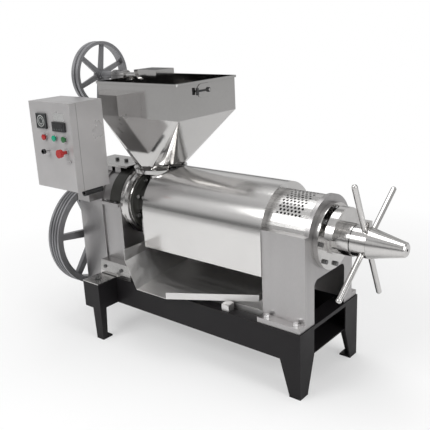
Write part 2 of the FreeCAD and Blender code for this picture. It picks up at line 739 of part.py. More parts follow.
def helix_flight(radius, core, thickness, pitch, turns):
    """One screw flight that rises along Z: a blade of flat facets whose root lies on the core."""
    steps = 12
    root_radius = core / math.cos(math.pi / steps)
    sections = []
    for number in range(steps * turns + 1):
        angle = 2 * math.pi * number / steps
        out = Vector(math.cos(angle), math.sin(angle), 0)
        middle = Vector(0, 0, pitch * number / steps)
        half = Vector(0, 0, thickness / 2)
        tip = Vector(0, 0, thickness * S.flight_taper.number / 2)
        sections.append([middle + out * root_radius - half, middle + out * radius - tip,
                         middle + out * radius + tip, middle + out * root_radius + half])
    faces = [flat_face(sections[0]), flat_face(sections[-1])]
    for low, high in zip(sections, sections[1:]):
        for corner in range(4):
            beside = (corner + 1) % 4
            faces.append(flat_face([low[corner], low[beside], high[beside]]))
            faces.append(flat_face([low[corner], high[beside], high[corner]]))
    blade = Part.Solid(Part.Shell(faces))
    if blade.Volume < 0:
        blade.reverse()
    return blade


def flat_face(points):
    return Part.Face(Part.makePolygon(list(points) + [points[0]]))


def make_press_screw():
    """Press screw: shaft, core that thickens towards the outlet and one long flight."""
    left = housing_right - S.screw_seat + 2
    flight_start = disc_right + 12
    core_end = portal_left + S.cage_outlet
    shaft_end = neck_left + 14
    profile = [(left, 0), (left, S.screw_shaft), (disc_right + 4, S.screw_shaft),
               (disc_right + 4, S.screw_core), (core_end - 40, S.screw_core),
               (core_end, S.flight_radius), (core_end + 20, S.screw_core),
               (portal_end - 30, S.screw_core), (portal_end - 30, S.screw_shaft),
               (shaft_end, S.screw_shaft), (shaft_end, 0)]
    core = turned("press_screw_core", profile, S.axis_height)
    span = (core_end - 50 - flight_start).number
    flight = helix_flight(S.flight_radius.number, S.screw_core.number, S.flight_thickness.number,
                          span / S.screw_turns.number, int(S.screw_turns.number))
    flight.rotate(Vector(0, 0, 0), Vector(0, 1, 0), 90)
    flight.translate(Vector(flight_start.number, 0, S.axis_height.number))
    return group("press_screw", [core, feature("press_screw_flight", flight)])


def make_barrel_cover():
    """Half-round cover over the cage: open below, end plates, notch round the throat."""
    item = body("barrel_cover")
    floor = S.axis_height - S.cover_skirt
    wall = S.cover_sheet
    pad(item, arch(sketch_on(item, "YZ_Plane", cover_left), S.cover_radius, S.axis_height,
                   floor), S.cover_length)
    inside = sketch_on(item, "YZ_Plane", cover_left + wall)
    pocket(item, arch(inside, S.cover_radius - wall, S.axis_height, floor - 1),
           S.cover_length - wall * 2, forward=True)
    left_hole = sketch_on(item, "YZ_Plane", cover_left - 1)
    pocket(item, circle(left_hole, 0, S.axis_height, S.cage_ring_radius + 2), wall * 2,
           forward=True)
    right_hole = sketch_on(item, "YZ_Plane", portal_left + 1)
    pocket(item, circle(right_hole, 0, S.axis_height, S.cage_ring_radius + 2), wall * 2)
    top = sketch_on(item, "XY_Plane", S.axis_height + S.cover_radius + 1)
    flare_foot = throat_top - S.throat_flange_thickness - S.throat_flare
    depth = S.axis_height + S.cover_radius + 1 - flare_foot
    pocket(item, circle(top, throat_x, 0, S.notch_radius), depth)
    neck = sketch_on(item, "XY_Plane", S.axis_height + S.cover_radius + 1)
    pocket(item, circle(neck, throat_x, 0, S.throat_bore + S.throat_wall + S.neck_clearance),
           S.cover_radius)
    return node("barrel_cover", item)


# ---------------------------------------------------------------- discharge end

def make_portal():
    """Discharge housing: a box open below, with a round-cornered cake outlet in its end."""
    item = body("discharge_housing")
    half, wall = S.portal_half, S.portal_wall
    plan = [(portal_left, -half), (portal_end, -half), (portal_end, half), (portal_left, half)]
    pad(item, polygon(sketch_on(item, "XY_Plane", S.rail_top), plan), roof_top - S.rail_top)
    wide = half + S.portal_foot
    foot = [(portal_left, -wide), (portal_end, -wide), (portal_end, wide), (portal_left, wide)]
    pad(item, polygon(sketch_on(item, "XY_Plane", S.rail_top), foot), S.portal_foot_thickness)
    inner = [(portal_left + wall, wall - half), (portal_end - wall, wall - half),
             (portal_end - wall, half - wall), (portal_left + wall, half - wall)]
    pocket(item, polygon(sketch_on(item, "XY_Plane", roof_top - wall), inner),
           roof_top - S.rail_top)
    start = portal_end - S.arch_thickness
    opening = [(portal_left, -S.roof_half), (start, -S.roof_half), (start, S.roof_half),
               (portal_left, S.roof_half)]
    pocket(item, polygon(sketch_on(item, "XY_Plane", roof_top), opening), wall * 2)
    cage_hole = sketch_on(item, "YZ_Plane", portal_left - 1)
    pocket(item, circle(cage_hole, 0, S.axis_height, S.cage_ring_radius), wall + 2,
           forward=True)
    shaft_hole = sketch_on(item, "YZ_Plane", portal_end + 1)
    pocket(item, circle(shaft_hole, 0, S.axis_height, S.sleeve_radius + 5), wall + 2)
    outlet = sketch_on(item, "YZ_Plane", portal_end + 1)
    pocket(item, rounded(outlet, (-S.outlet_half, S.rail_top - 40), (S.outlet_half, S.outlet_top),
                         S.outlet_corner), wall + 2)
    disc = rod("arch_disc", S.arch_radius, S.arch_thickness, (start, 0, S.axis_height))
    above = box("arch_keep", (start, -S.arch_radius, roof_top),
                (portal_end, S.arch_radius, S.axis_height + S.arch_radius * 2))
    return node("discharge_housing", fuse("portal", item, common("arch_plate", disc, above)))


def make_guard():
    """Half-round perforated guard on top of the discharge housing."""
    start = portal_left
    length = S.portal_length - S.arch_thickness
    outer = rod("guard_outer", S.guard_radius, length, (start, 0, S.axis_height))
    inner = rod("guard_inner", S.guard_radius - S.guard_sheet, length, (start, 0, S.axis_height))
    keep = box("guard_keep", (start, -S.guard_radius, roof_top),
               (start + length, S.guard_radius, S.axis_height + S.guard_radius * 2))
    node("perforated_guard", common("perforated_guard", cut("guard_ring", outer, inner), keep))


def make_end_flange():
    """Bolted flange, threaded neck and half-round yoke at the discharge face."""
    mid = S.axis_height
    bore = S.sleeve_radius + 5
    profile = [(portal_end, bore), (portal_end, S.end_flange_radius),
               (neck_left, S.end_flange_radius), (neck_left, bore)]
    node("end_flange", turned("end_flange", profile, mid))
    heads = bolts("end_flange_bolt", ring_places(neck_left, S.end_flange_radius - 22, 8, 0, mid))
    group("end_flange_bolts", heads)
    shaft_bore = S.screw_shaft + S.running_gap
    sleeve_bore = S.sleeve_radius + S.running_gap
    seat = neck_right - S.sleeve_seat
    neck = [(neck_left, shaft_bore), (neck_left, S.neck_collar),
            (neck_left + S.neck_collar_length, S.neck_collar),
            (neck_left + S.neck_collar_length, S.neck_radius), (neck_right, S.neck_radius),
            (neck_right, sleeve_bore), (seat, sleeve_bore), (seat, shaft_bore)]
    neck_body = turned("neck_turned", neck, mid)
    yoke_left = neck_left + S.yoke_start - S.end_flange_thickness
    disc = rod("yoke_disc", S.yoke_radius, S.yoke_length, (yoke_left, 0, mid))
    above = box("yoke_keep", (yoke_left, -S.yoke_radius, mid + S.yoke_cut),
                (yoke_left + S.yoke_length, S.yoke_radius, mid + S.yoke_radius * 2))
    hole = rod("yoke_hole", S.neck_radius - 1, S.yoke_length, (yoke_left, 0, mid))
    yoke = cut("yoke", common("yoke_half", disc, above), hole)
    node("screw_neck", fuse("screw_neck", neck_body, yoke))


def make_adjuster():
    """Non-turning sleeve, and the hub, nose cone and bars that screw it in and out."""
    mid = S.axis_height
    sleeve_left = neck_right - S.sleeve_seat + 30
    sleeve = [(sleeve_left, S.sleeve_bore), (sleeve_left, S.sleeve_radius),
              (hub_left + S.sleeve_reach, S.sleeve_radius),
              (hub_left + S.sleeve_reach, S.sleeve_bore)]
    node("thrust_sleeve", turned("thrust_sleeve", sleeve, mid))
    bore = S.sleeve_radius + S.running_gap
    hub_profile = [(hub_left, bore), (hub_left, S.hub_radius), (hub_right, S.hub_radius),
                   (hub_right, 0), (hub_left + S.sleeve_reach + 2, 0),
                   (hub_left + S.sleeve_reach + 2, bore)]
    hub = turned("hub_turned", hub_profile, mid)
    lug_mid = hub_left + S.hub_length * 0.7
    lug = box("hub_lug", (lug_mid - S.lug_length / 2, -S.lug_width / 2, mid + S.hub_radius - 8),
              (lug_mid + S.lug_length / 2, S.lug_width / 2, mid + S.hub_radius + S.lug_height - 8))
    bar_x = hub_left + S.bar_station
    seats = []
    bars = []
    for number in range(4):
        lean = 90.0 + S.bar_lean_first if number % 2 == 0 else sized(0.0) + S.bar_lean_second
        angle = lean + 180.0 * (number // 2)
        for made, name, start, reach in ((seats, "bar_seat", S.bar_root, S.hub_radius),
                                         (bars, "handle_bar", S.bar_root, S.bar_reach)):
            item = doc.addObject("Part::Cylinder", f"{name}{number}")
            bind(item, "Radius", S.bar_radius)
            bind(item, "Height", reach - start)
            item.Placement = Placement(Vector(), Rotation(Vector(1, 0, 0), angle.number - 90.0))
            bind(item, "Placement.Base.x", bar_x)
            bind(item, "Placement.Base.y", start * cosine(angle))
            bind(item, "Placement.Base.z", mid + start * sine(angle))
            made.append(item)
        knob = doc.addObject("Part::Sphere", f"bar_end{number}")
        bind(knob, "Radius", S.bar_radius)
        place(knob, bar_x, S.bar_reach * cosine(angle), mid + S.bar_reach * sine(angle))
        bars[-1] = fuse(f"handle{number}", bars[-1], knob)
    node("adjuster_hub", cut("adjuster_hub", fuse("hub_solid", hub, lug), *seats))
    group("handle_bars", bars)
    nose_end = hub_right + S.nose_length
    nose = [(hub_right, 0), (hub_right, S.nose_base), (nose_end - S.nose_round, S.nose_tip),
            (nose_end, S.nose_tip - S.nose_round), (nose_end, S.tip_hole),
            (nose_end - S.tip_hole_depth, S.tip_hole), (nose_end - S.tip_hole_depth, 0)]
    node("nose_cone", turned("nose_cone", nose, mid))


# ---------------------------------------------------------------- oil tray

def tray_floor(y):
    """Height of the sloping tray floor at one y."""
    lip_y = front - S.tray_lip_reach
    return S.tray_lip_height + S.tray_slope * (y - lip_y)


def panel(corners, thickness, direction):
    """A flat sheet panel from its corners, given thickness along a direction."""
    points = [Vector(*(sized(value).number for value in corner)) for corner in corners]
    face = Part.Face(Part.makePolygon(points + points[:1]))
    return face.extrude(direction * thickness)


def make_tray():
    """Oil tray under the cage: sloping floor that narrows to a pouring lip in front."""
    lip_y = front - S.tray_lip_reach
    lip_left, lip_right = -S.tray_lip_left, -S.tray_lip_right
    right, right_y = -S.tray_right, front + S.tray_right_reach
    back, wall_x = S.tray_back, -S.tray_left
    sheet_number = S.tray_sheet.number
    floor = [(lip_left, lip_y, tray_floor(lip_y)), (lip_right, lip_y, tray_floor(lip_y)),
             (right, right_y, tray_floor(right_y)), (right, back, tray_floor(back)),
             (lip_left, back, tray_floor(back))]
    up = Vector(0, 0, 1)
    solid = panel(floor, sheet_number, up)
    fold_rise = S.tray_fold - S.tray_lip_height
    fold_front, fold_back = tray_floor(lip_y) + fold_rise, tray_floor(back) + fold_rise
    slope = [(lip_left, lip_y, tray_floor(lip_y)), (lip_left, back, tray_floor(back)),
             (wall_x, back, fold_back), (wall_x, lip_y, fold_front)]
    solid = solid.fuse(panel(slope, sheet_number, up))
    wall = [(wall_x, lip_y, fold_front), (wall_x, back, fold_back),
            (wall_x, back, S.tray_wall_top), (wall_x, lip_y, S.tray_wall_top)]
    solid = solid.fuse(panel(wall, sheet_number, Vector(1, 0, 0)))
    edges = (floor[1], floor[2]), (floor[2], floor[3])
    for start, end in edges:
        run = [start, end, (end[0], end[1], end[2] + S.tray_upstand),
               (start[0], start[1], start[2] + S.tray_upstand)]
        first = Vector(*(sized(value).number for value in start))
        last = Vector(*(sized(value).number for value in end))
        inward = up.cross(last - first)
        inward.normalize()
        solid = solid.fuse(panel(run, sheet_number, inward))
    rear = [floor[3], floor[4], (wall_x, back, fold_back), (wall_x, back, S.tray_wall_top),
            (right, back, S.tray_wall_top)]
    solid = solid.fuse(panel(rear, sheet_number, Vector(0, -1, 0)))
    near = front + S.tray_post_inset
    far = near + S.tray_post
    for x in (lip_left + S.tray_post_first, right - S.tray_post_last):
        wedge = [(x, near, S.rail_top), (x, far, S.rail_top), (x, far, tray_floor(far)),
                 (x, near, tray_floor(near))]
        solid = solid.fuse(panel(wedge, S.tray_post.number, Vector(1, 0, 0)))
    return node("oil_tray", feature("oil_tray", solid.removeSplitter()))


def make_oil_box():
    """Open-topped box that hangs in the frame's well under the tray."""
    item = body("oil_box")
    right, left = -S.box_right, -S.box_right - S.box_length
    half = S.box_half
    plan = [(left, -half), (right, -half), (right, half), (left, half)]
    pad(item, polygon(sketch_on(item, "XY_Plane", S.box_floor), plan), S.box_top - S.box_floor)
    wall = S.box_wall
    inner = [(left + wall, wall - half), (right - wall, wall - half), (right - wall, half - wall),
             (left + wall, half - wall)]
    pocket(item, polygon(sketch_on(item, "XY_Plane", S.box_top), inner),
           S.box_top - S.box_floor - wall)
    legs = [item]
    for number, x in enumerate((left, right - wall * 4)):
        legs.append(box(f"oil_box_foot{number}", (x, -half, rail_bottom + S.pan_thickness),
                        (x + wall * 4, half, S.box_floor)))
    return node("oil_box", fuse("oil_box_solid", *legs))


# ---------------------------------------------------------------- hopper and feeder

def square_to_round(x0, x1, half, top, centre_x, radius, foot):
    """A folded transition: a rectangle above runs to a round foot through bends at its corners."""
    bends = int(S.cone_bends.number)
    corners = [Vector(x1, -half, top), Vector(x1, half, top), Vector(x0, half, top),
               Vector(x0, -half, top)]
    foot_points = []
    for number in range(4 * bends):
        angle = math.radians(-90 + 90.0 * number / bends)
        foot_points.append(Vector(centre_x + radius * math.cos(angle),
                                  radius * math.sin(angle), foot))
    faces = [flat_face(corners), flat_face(foot_points)]
    for number, corner in enumerate(corners):
        for bend in range(bends):
            first = number * bends + bend
            faces.append(flat_face([corner, foot_points[first],
                                    foot_points[(first + 1) % len(foot_points)]]))
        last = foot_points[((number + 1) * bends) % len(foot_points)]
        faces.append(flat_face([corner, corners[(number + 1) % 4], last]))
    solid = Part.Solid(Part.Shell(faces))
    if solid.Volume < 0:
        solid.reverse()
    return solid


def make_hopper():
    """Rectangular bin that runs through a square-to-round cone down to the throat."""
    x0, x1, half = bin_x0.number, bin_x1.number, S.bin_half.number
    top, low, foot = bin_top.number, cone_top.number, throat_top.number
    skin, throat, radius = S.bin_sheet.number, throat_x.number, S.cone_foot.number
    ring = Part.makeCylinder(S.throat_flange_radius.number, skin * 2, Vector(throat, 0, foot))
    outer = square_to_round(x0, x1, half, low, throat, radius, foot)
    band = Part.makeBox(x1 - x0, half * 2, top - low, Vector(x0, -half, low))
    inner = square_to_round(x0 + skin, x1 - skin, half - skin, low, throat, radius - skin, foot)
    room = Part.makeBox(x1 - x0 - skin * 2, (half - skin) * 2, top - low,
                        Vector(x0 + skin, skin - half, low))
    half_notch = S.notch_half.number
    gap = Part.makeBox(skin * 2, half_notch * 2, S.notch_depth.number,
                       Vector(x0 - skin / 2, -half_notch, top - S.notch_depth.number))
    solid = outer.fuse([band, ring]).cut([inner, room, gap])
    return node("hopper", feature("hopper", solid.removeSplitter()))


def make_rim():
    """Folded rim round the top of the bin."""
    item = body("hopper_rim_ring")
    out, low = S.rim_width, bin_top - S.rim_height
    half = S.bin_half
    plan = rounded(sketch_on(item, "XY_Plane", low), (bin_x0 - out, -half - out),
                   (bin_x1 + out, half + out), out)
    pad(item, plan, S.rim_height)
    inner = sketch_on(item, "XY_Plane", bin_top)
    pocket(item, polygon(inner, [(bin_x0, -half), (bin_x1, -half), (bin_x1, half),
                                 (bin_x0, half)]), S.rim_height)
    gap = box("rim_gap", (bin_x0 - out * 2, -S.notch_half, low - 1),
              (bin_x0 + out, S.notch_half, bin_top + 1))
    return node("hopper_rim", cut("hopper_rim", item, gap))


def make_feeder():
    """Bevel-gear box over the hopper, its bearing block and the bracket on the bin wall."""
    left, right = feeder_left, feeder_left + S.feeder_length
    half = S.feeder_width / 2
    low = feeder_floor
    case = box("feeder_case", (left, -half, low), (right, half, feeder_top))
    bore = rod("feeder_bore", S.feed_shaft + S.running_gap, S.feeder_length / 2,
               (left, 0, feed_height))
    auger_bore = rod("feeder_auger_bore", S.auger_shaft + S.running_gap, S.feeder_height / 2,
                     (throat_x, 0, low), "Z")
    face = rod("feeder_face", S.feeder_boss, S.feeder_boss_depth, (left + S.feeder_boss_inset, -half,
                                                                  feeder_top), "Y")
    node("feeder_case", cut("feeder_box", case, bore, auger_bore, face))
    block_left_x = throat_x - S.bearing_left
    block_right_x = block_left_x + S.bearing_length
    plate_low = feed_height - S.bearing_radius - S.bracket_thickness
    shell = rod("bearing_shell", S.bearing_radius, S.bearing_length,
                (block_left_x, 0, feed_height))
    seat = box("bearing_seat", (block_left_x, -S.bearing_radius, plate_low + S.bracket_thickness),
               (block_right_x, S.bearing_radius, feed_height))
    snout = rod("bearing_snout", S.snout_radius, left - block_right_x,
                (block_right_x, 0, feed_height))
    hole = rod("bearing_bore", S.feed_shaft + S.running_gap, left - block_left_x,
               (block_left_x, 0, feed_height))
    node("feeder_bearing", cut("feeder_bearing", fuse("bearing_solid", shell, seat, snout), hole))
    plate = box("bracket_plate", (throat_x - S.bracket_left, -S.bracket_half, plate_low),
                (bin_x0, S.bracket_half, plate_low + S.bracket_thickness))
    rib = body("bracket_rib")
    rib_profile = [(bin_x0, plate_low), (bin_x0, plate_low - 90), (bin_x0 - 20, plate_low - 90),
                   (throat_x - S.bracket_left + 20, plate_low)]
    pad(rib, polygon(sketch_on(rib, "XZ_Plane", -3), rib_profile), 6)
    node("feeder_bracket", fuse("feeder_bracket", plate, rib))


def make_auger():
    """Vertical feed auger that hangs from the feeder case into the throat."""
    low = throat_top - S.auger_reach
    top = feeder_floor + S.feeder_height / 2 - 4
    shaft = rod("auger_shaft", S.auger_shaft, top - low, (throat_x, 0, low), "Z")
    start = low + S.auger_thickness
    span = (throat_top + S.auger_flight_rise - start).number
    turns = int(S.auger_turns.number)
    flight = helix_flight(S.auger_radius.number, S.auger_shaft.number, S.auger_thickness.number,
                          span / turns, turns)
    flight.translate(Vector(throat_x.number, 0, start.number))
    return group("feed_auger", [shaft, feature("auger_flight", flight)])


def make_latch():
    """Plate and swinging latch arm on the hopper's end wall."""
    x = bin_x1
    half_long, half_tall = S.latch_plate_length / 2, S.latch_plate_height / 2
    item = body("latch_plate")
    outline = rounded(sketch_on(item, "YZ_Plane", x),
                      (S.latch_mid_y - half_long, latch_z - half_tall),
                      (S.latch_mid_y + half_long, latch_z + half_tall), half_tall - 1)
    pad(item, outline, S.latch_plate_thickness)
    face = x + S.latch_plate_thickness
    pivot_y, pivot_z = S.latch_mid_y + 20, latch_z
    pin = rod("latch_pin", S.latch_pivot_radius, S.latch_arm_thickness + 4,
              (face, pivot_y, pivot_z))
    node("latch_plate", fuse("latch_base", item, pin))
    half_arm = S.latch_arm_height / 2
    arm = box("latch_bar", (face + 0.5, pivot_y - S.latch_arm_length, pivot_z - half_arm),
              (face + 0.5 + S.latch_arm_thickness, pivot_y, pivot_z + half_arm))
    eye = rod("latch_eye", S.latch_pivot_radius + 5, S.latch_arm_thickness,
              (face + 0.5, pivot_y, pivot_z))
    grip = rod("latch_grip", S.latch_grip_radius, S.latch_grip_length,
               (face + 0.5 + S.latch_grip_radius, pivot_y - S.latch_arm_length,
                pivot_z - S.latch_grip_length / 2), "Z")
    hole = rod("latch_hole", S.latch_pivot_radius + S.running_gap, S.latch_arm_thickness + 20,
               (face, pivot_y, pivot_z))
    node("latch_arm", cut("latch_arm", fuse("latch_solid", arm, eye, grip), hole))


# ---------------------------------------------------------------- pulleys

def groove_profile(left, width, radius, inner, grooves):
    """Rim section of a V-belt pulley: straight bore side, grooves in the outer side."""
    pitch, mouth, floor = S.groove_pitch, S.groove_mouth, S.groove_floor
    first = left + width / 2 - pitch * (grooves - 1) / 2
    points = [(left, inner), (left, radius)]
    for number in range(grooves):
        middle = first + pitch * number
        points.append((middle - mouth / 2, radius))
        points.append((middle - floor / 2, radius - S.groove_depth))
        points.append((middle + floor / 2, radius - S.groove_depth))
        points.append((middle + mouth / 2, radius))
    points += [(left + width, radius), (left + width, inner)]
    return points


def make_pulley(name, left, width, radius, rim, hub, hub_length, spoke, grooves, centre, start):
    """Grooved rim on six tapered spokes and a hub."""
    centre_y, centre_z = centre
    spoke_width, spoke_thickness = spoke
    rim_body = turned(name + "_rim", groove_profile(left, width, radius, radius - rim, grooves),
                      centre_z, centre_y)
    middle = left + width / 2
    hub_body = rod(name + "_hub", hub, hub_length, (middle - hub_length / 2, centre_y, centre_z))
    parts = [rim_body, hub_body]
    inner, outer = (hub - 6).number, (radius - rim + 4).number
    half, depth = spoke_width.number / 2, spoke_thickness.number
    for number in range(6):
        outline = [Vector(0, -half, inner), Vector(0, half, inner),
                   Vector(0, half * 0.72, outer), Vector(0, -half * 0.72, outer)]
        blade = Part.Face(Part.makePolygon(outline + outline[:1])).extrude(Vector(depth, 0, 0))
        blade.rotate(Vector(0, 0, 0), Vector(1, 0, 0), -(start.number + 60 * number) + 90)
        blade.translate(Vector((middle - depth / 2).number, centre_y.number, centre_z.number))
        parts.append(feature(f"{name}_spoke{number}", blade))
    return fuse(name + "_solid", *parts)


def make_pulleys():
    drive = make_pulley("drive_pulley", pulley_left, S.drive_pulley_width, S.drive_pulley_radius,
                        S.drive_rim, S.drive_hub, S.drive_hub_length,
                        (S.drive_spoke_width, S.drive_spoke_thickness), 3, (drive_y, drive_z),
                        S.drive_spoke_turn)
    shaft_left = pulley_left - 8
    bore = rod("drive_bore", S.input_radius, S.drive_pulley_width + 20,
               (pulley_left - 10, drive_y, drive_z))
    node("drive_pulley", cut("drive_pulley", drive, bore))
    inner_end = case_left + S.case_length / 2 - 4
    node("input_shaft", rod("input_shaft", S.input_radius, inner_end - shaft_left,
                            (shaft_left, drive_y, drive_z)))
    feed_left = throat_x - S.feed_pulley_left
    feed = make_pulley("feed_pulley", feed_left, S.feed_pulley_width, S.feed_pulley_radius,
                       S.feed_rim, S.feed_hub, S.feed_pulley_width,
                       (S.feed_spoke_width, S.feed_spoke_thickness), 1, (sized(0), feed_height),
                       S.feed_spoke_turn)
    collar_left = feed_left + S.feed_pulley_width
    collar_right = throat_x - S.bearing_left - 1
    collar = rod("feed_collar", S.snout_radius + 2, collar_right - collar_left,
                 (collar_left, 0, feed_height))
    hole = rod("feed_pulley_bore", S.feed_shaft, collar_right - feed_left + 20,
               (feed_left - 10, 0, feed_height))
    node("feed_pulley", cut("feed_pulley", fuse("feed_pulley_all", feed, collar), hole))
    node("feed_shaft", rod("feed_shaft", S.feed_shaft,
                           feeder_left + S.feeder_length / 2 - 4 - (feed_left - 8),
                           (feed_left - 8, 0, feed_height)))


# ---------------------------------------------------------------- control cabinet

def make_cabinet():
    """Sheet cabinet body, open in front, on a bracket behind it."""
    sheet_size = S.cabinet_sheet
    low, high = cabinet_floor, cabinet_floor + S.cabinet_height
    item = body("cabinet_body")
    start = -(door_back + S.door_gap)
    outline = [(cabinet_x0, low), (cabinet_x1, low), (cabinet_x1, high), (cabinet_x0, high)]
    depth = S.cabinet_depth - S.door_depth - S.door_gap
    rear = sketch_on(item, "XZ_Plane", S.cabinet_back)
    pad(item, polygon(rear, outline), depth)
    inner = [(cabinet_x0 + sheet_size, low + sheet_size), (cabinet_x1 - sheet_size, low + sheet_size),
             (cabinet_x1 - sheet_size, high - sheet_size),
             (cabinet_x0 + sheet_size, high - sheet_size)]
    mouth = sketch_on(item, "XZ_Plane", start + 0)
    pocket(item, polygon(mouth, inner), depth - sheet_size)
    node("cabinet_body", item)
    back = box("bracket_back", (cabinet_x0 + S.bracket_inset, cabinet_rear, low - S.bracket_drop),
               (cabinet_x0 + S.bracket_inset + S.bracket_plate_width, cabinet_rear + S.bracket_plate,
                low + S.bracket_rise))
    arm_low = low - S.bracket_drop
    arm = box("bracket_arm", (cabinet_x0 + S.bracket_inset, cabinet_rear + S.bracket_plate, arm_low),
              (cabinet_x0 + S.bracket_inset + S.bracket_plate_width, -S.case_radius / 2, arm_low + 40))
    case = rod("bracket_clear", S.case_radius, S.case_length, (case_left, 0, S.axis_height))
    node("cabinet_bracket", cut("cabinet_bracket", fuse("bracket_solid", back, arm), case))
    gland_x = cabinet_x1 - S.gland_radius - 4
    gland = rod("gland_outer", S.gland_radius, S.gland_length,
                (gland_x, cabinet_front + S.door_depth + 12, low - S.gland_radius), "Y")
    bore = rod("gland_hole", S.gland_bore, S.gland_length,
               (gland_x, cabinet_front + S.door_depth + 12, low - S.gland_radius), "Y")
    node("cable_gland", cut("cable_gland", gland, bore))


def make_door():
    """Folded door with its meter, controller and switches; hinge pins on the left edge."""
    low, high = cabinet_floor, cabinet_floor + S.cabinet_height
    sheet_size = S.cabinet_sheet
    item = body("cabinet_door")
    outline = [(cabinet_x0, low), (cabinet_x1, low), (cabinet_x1, high), (cabinet_x0, high)]
    rear = sketch_on(item, "XZ_Plane", -door_back)
    pad(item, polygon(rear, outline), S.door_depth)
    inner = [(cabinet_x0 + sheet_size, low + sheet_size), (cabinet_x1 - sheet_size, low + sheet_size),
             (cabinet_x1 - sheet_size, high - sheet_size),
             (cabinet_x0 + sheet_size, high - sheet_size)]
    pocket(item, polygon(sketch_on(item, "XZ_Plane", -door_back), inner),
           S.door_depth - sheet_size, forward=True)
    holes = sketch_on(item, "XZ_Plane", -cabinet_front)
    for x, z in button_places():
        circle(holes, x, z, S.button_radius + S.running_gap)
    x, z = knob_place()
    circle(holes, x, z, S.knob_neck_radius + S.running_gap)
    x, z = stop_place()
    circle(holes, x, z, S.stop_stem_radius + S.running_gap)
    x, z = lock_place()
    circle(holes, x, z, S.lock_radius + S.running_gap)
    pocket(item, holes, sheet_size * 2)
    node("cabinet_door", item)
    pins = []
    for number, z in enumerate((low + S.hinge_margin, high - S.hinge_margin - S.hinge_length)):
        pins.append(rod(f"hinge{number}", S.hinge_radius, S.hinge_length,
                        (cabinet_x0 - S.hinge_radius, door_back + S.door_gap / 2, z), "Z"))
    group("door_hinges", pins)


def control(across, up):
    """A spot on the door, measured from its lower right corner."""
    return cabinet_x1 - across, cabinet_floor + up


def button_places():
    return [control(across, S.buttons_up)
            for across in (S.red_across, S.teal_across, S.green_across)]


def knob_place():
    return control(S.knob_across, S.knob_up)


def stop_place():
    return control(S.stop_across, S.stop_up)


def lock_place():
    return control(S.lock_across, S.lock_up)


def front_rod(name, radius, length, spot, lift=0):
    """A cylinder that stands on the door and points to the front."""
    return rod(name, radius, length, (spot[0], cabinet_front - lift, spot[1]), "-Y")


def make_controls():
    half = S.meter_size / 2
    x, z = control(S.meter_across, S.meter_up)
    node("meter", box("meter", (x - half, cabinet_front - S.meter_depth, z - half),
                      (x + half, cabinet_front, z + half)))
    half_wide, half_tall = S.controller_width / 2, S.controller_height / 2
    x, z = control(S.controller_across, S.controller_up)
    node("controller", box("controller", (x - half_wide, cabinet_front - S.controller_depth,
                                          z - half_tall),
                           (x + half_wide, cabinet_front, z + half_tall)))
    bezels = []
    names = ("button_red", "button_teal", "button_green")
    for name, spot in zip(names, button_places()):
        outer = front_rod(name + "_bezel", S.bezel_radius, S.bezel_depth, spot)
        bore = front_rod(name + "_bore", S.button_radius + S.running_gap, S.bezel_depth, spot)
        bezels.append(cut(name + "_ring", outer, bore))
        node(name, front_rod(name, S.button_radius, S.button_depth, spot, 1))
    spot = stop_place()
    base = front_rod("stop_base", S.stop_base_radius, S.stop_base_depth, spot)
    bore = front_rod("stop_bore", S.stop_stem_radius + S.running_gap, S.stop_base_depth, spot)
    bezels.append(cut("stop_collar", base, bore))
    group("button_bezels", bezels)
    spot = knob_place()
    neck = front_rod("knob_neck", S.knob_neck_radius, S.knob_neck_length + S.knob_tail, spot,
                     -S.knob_tail)
    head = front_rod("knob_head", S.knob_radius, S.knob_head, spot, S.knob_neck_length)
    node("selector_knob", fuse("selector_knob", neck, head))
    spot = stop_place()
    stem = front_rod("stop_stem", S.stop_stem_radius, S.stop_stem_length + 8, spot, 2)
    head = front_rod("stop_head", S.stop_radius, S.stop_head, spot, S.stop_stem_length + 10)
    node("emergency_stop", fuse("emergency_stop", stem, head))
    spot = lock_place()
    barrel = front_rod("lock_barrel", S.lock_radius, S.lock_depth + 12, spot, -12)
    slot = box("lock_slot", (spot[0] - 1, cabinet_front - S.lock_depth - 1, spot[1] - 5),
               (spot[0] + 1, cabinet_front - S.lock_depth + 2, spot[1] + 5))
    node("door_lock", cut("door_lock", barrel, slot))


# ---------------------------------------------------------------- fasteners

def make_fasteners():
    half = S.portal_half + S.portal_foot / 2
    top = S.rail_top + S.portal_foot_thickness
    heads = []
    for number, inset in enumerate((S.portal_bolt_near, S.portal_bolt_far)):
        for side in (-1, 1):
            spot = (portal_end - inset, half * side, top)
            heads += bolts(f"portal_bolt{number}{side + 1}_", [spot], "Z")
    group("portal_bolts", heads)
    plate_top = S.rail_top + S.block_plate_thickness
    stud_x, stud_y = frame_left - S.stud_inset_x, block_front + S.stud_inset_y
    washer = rod("block_washer", S.bolt_across * 0.85, 4, (stud_x, stud_y, plate_top), "Z")
    nut = bolts("block_nut", [(stud_x, stud_y, plate_top + 4)], "Z")[0]
    stud = rod("block_thread", S.bolt_across / 3, 22, (stud_x, stud_y, plate_top + 4), "Z")
    node("block_stud", fuse("block_stud", washer, nut, stud))
    foot_top = S.axis_height + S.cap_foot_height
    reach = S.cap_radius + S.cap_foot_reach - S.small_bolt_across * 0.75
    cap_heads = []
    for number, along in enumerate((S.cap_bolt_near, S.cap_bolt_far)):
        for side in (-1, 1):
            spot = (housing_left + along, reach * side, foot_top)
            cap_heads += bolts(f"cap_bolt{number}{side + 1}_", [spot], "Z", S.small_bolt_across,
                               S.small_bolt_head)
    lid_top = pad_top + S.cover_plate_thickness
    for number, x in enumerate((case_right - S.lid_nut_inset, housing_left - S.housing_inset)):
        cap_heads += bolts(f"lid_nut{number}_", [(x, 0, lid_top)], "Z")
    group("housing_bolts", cap_heads)


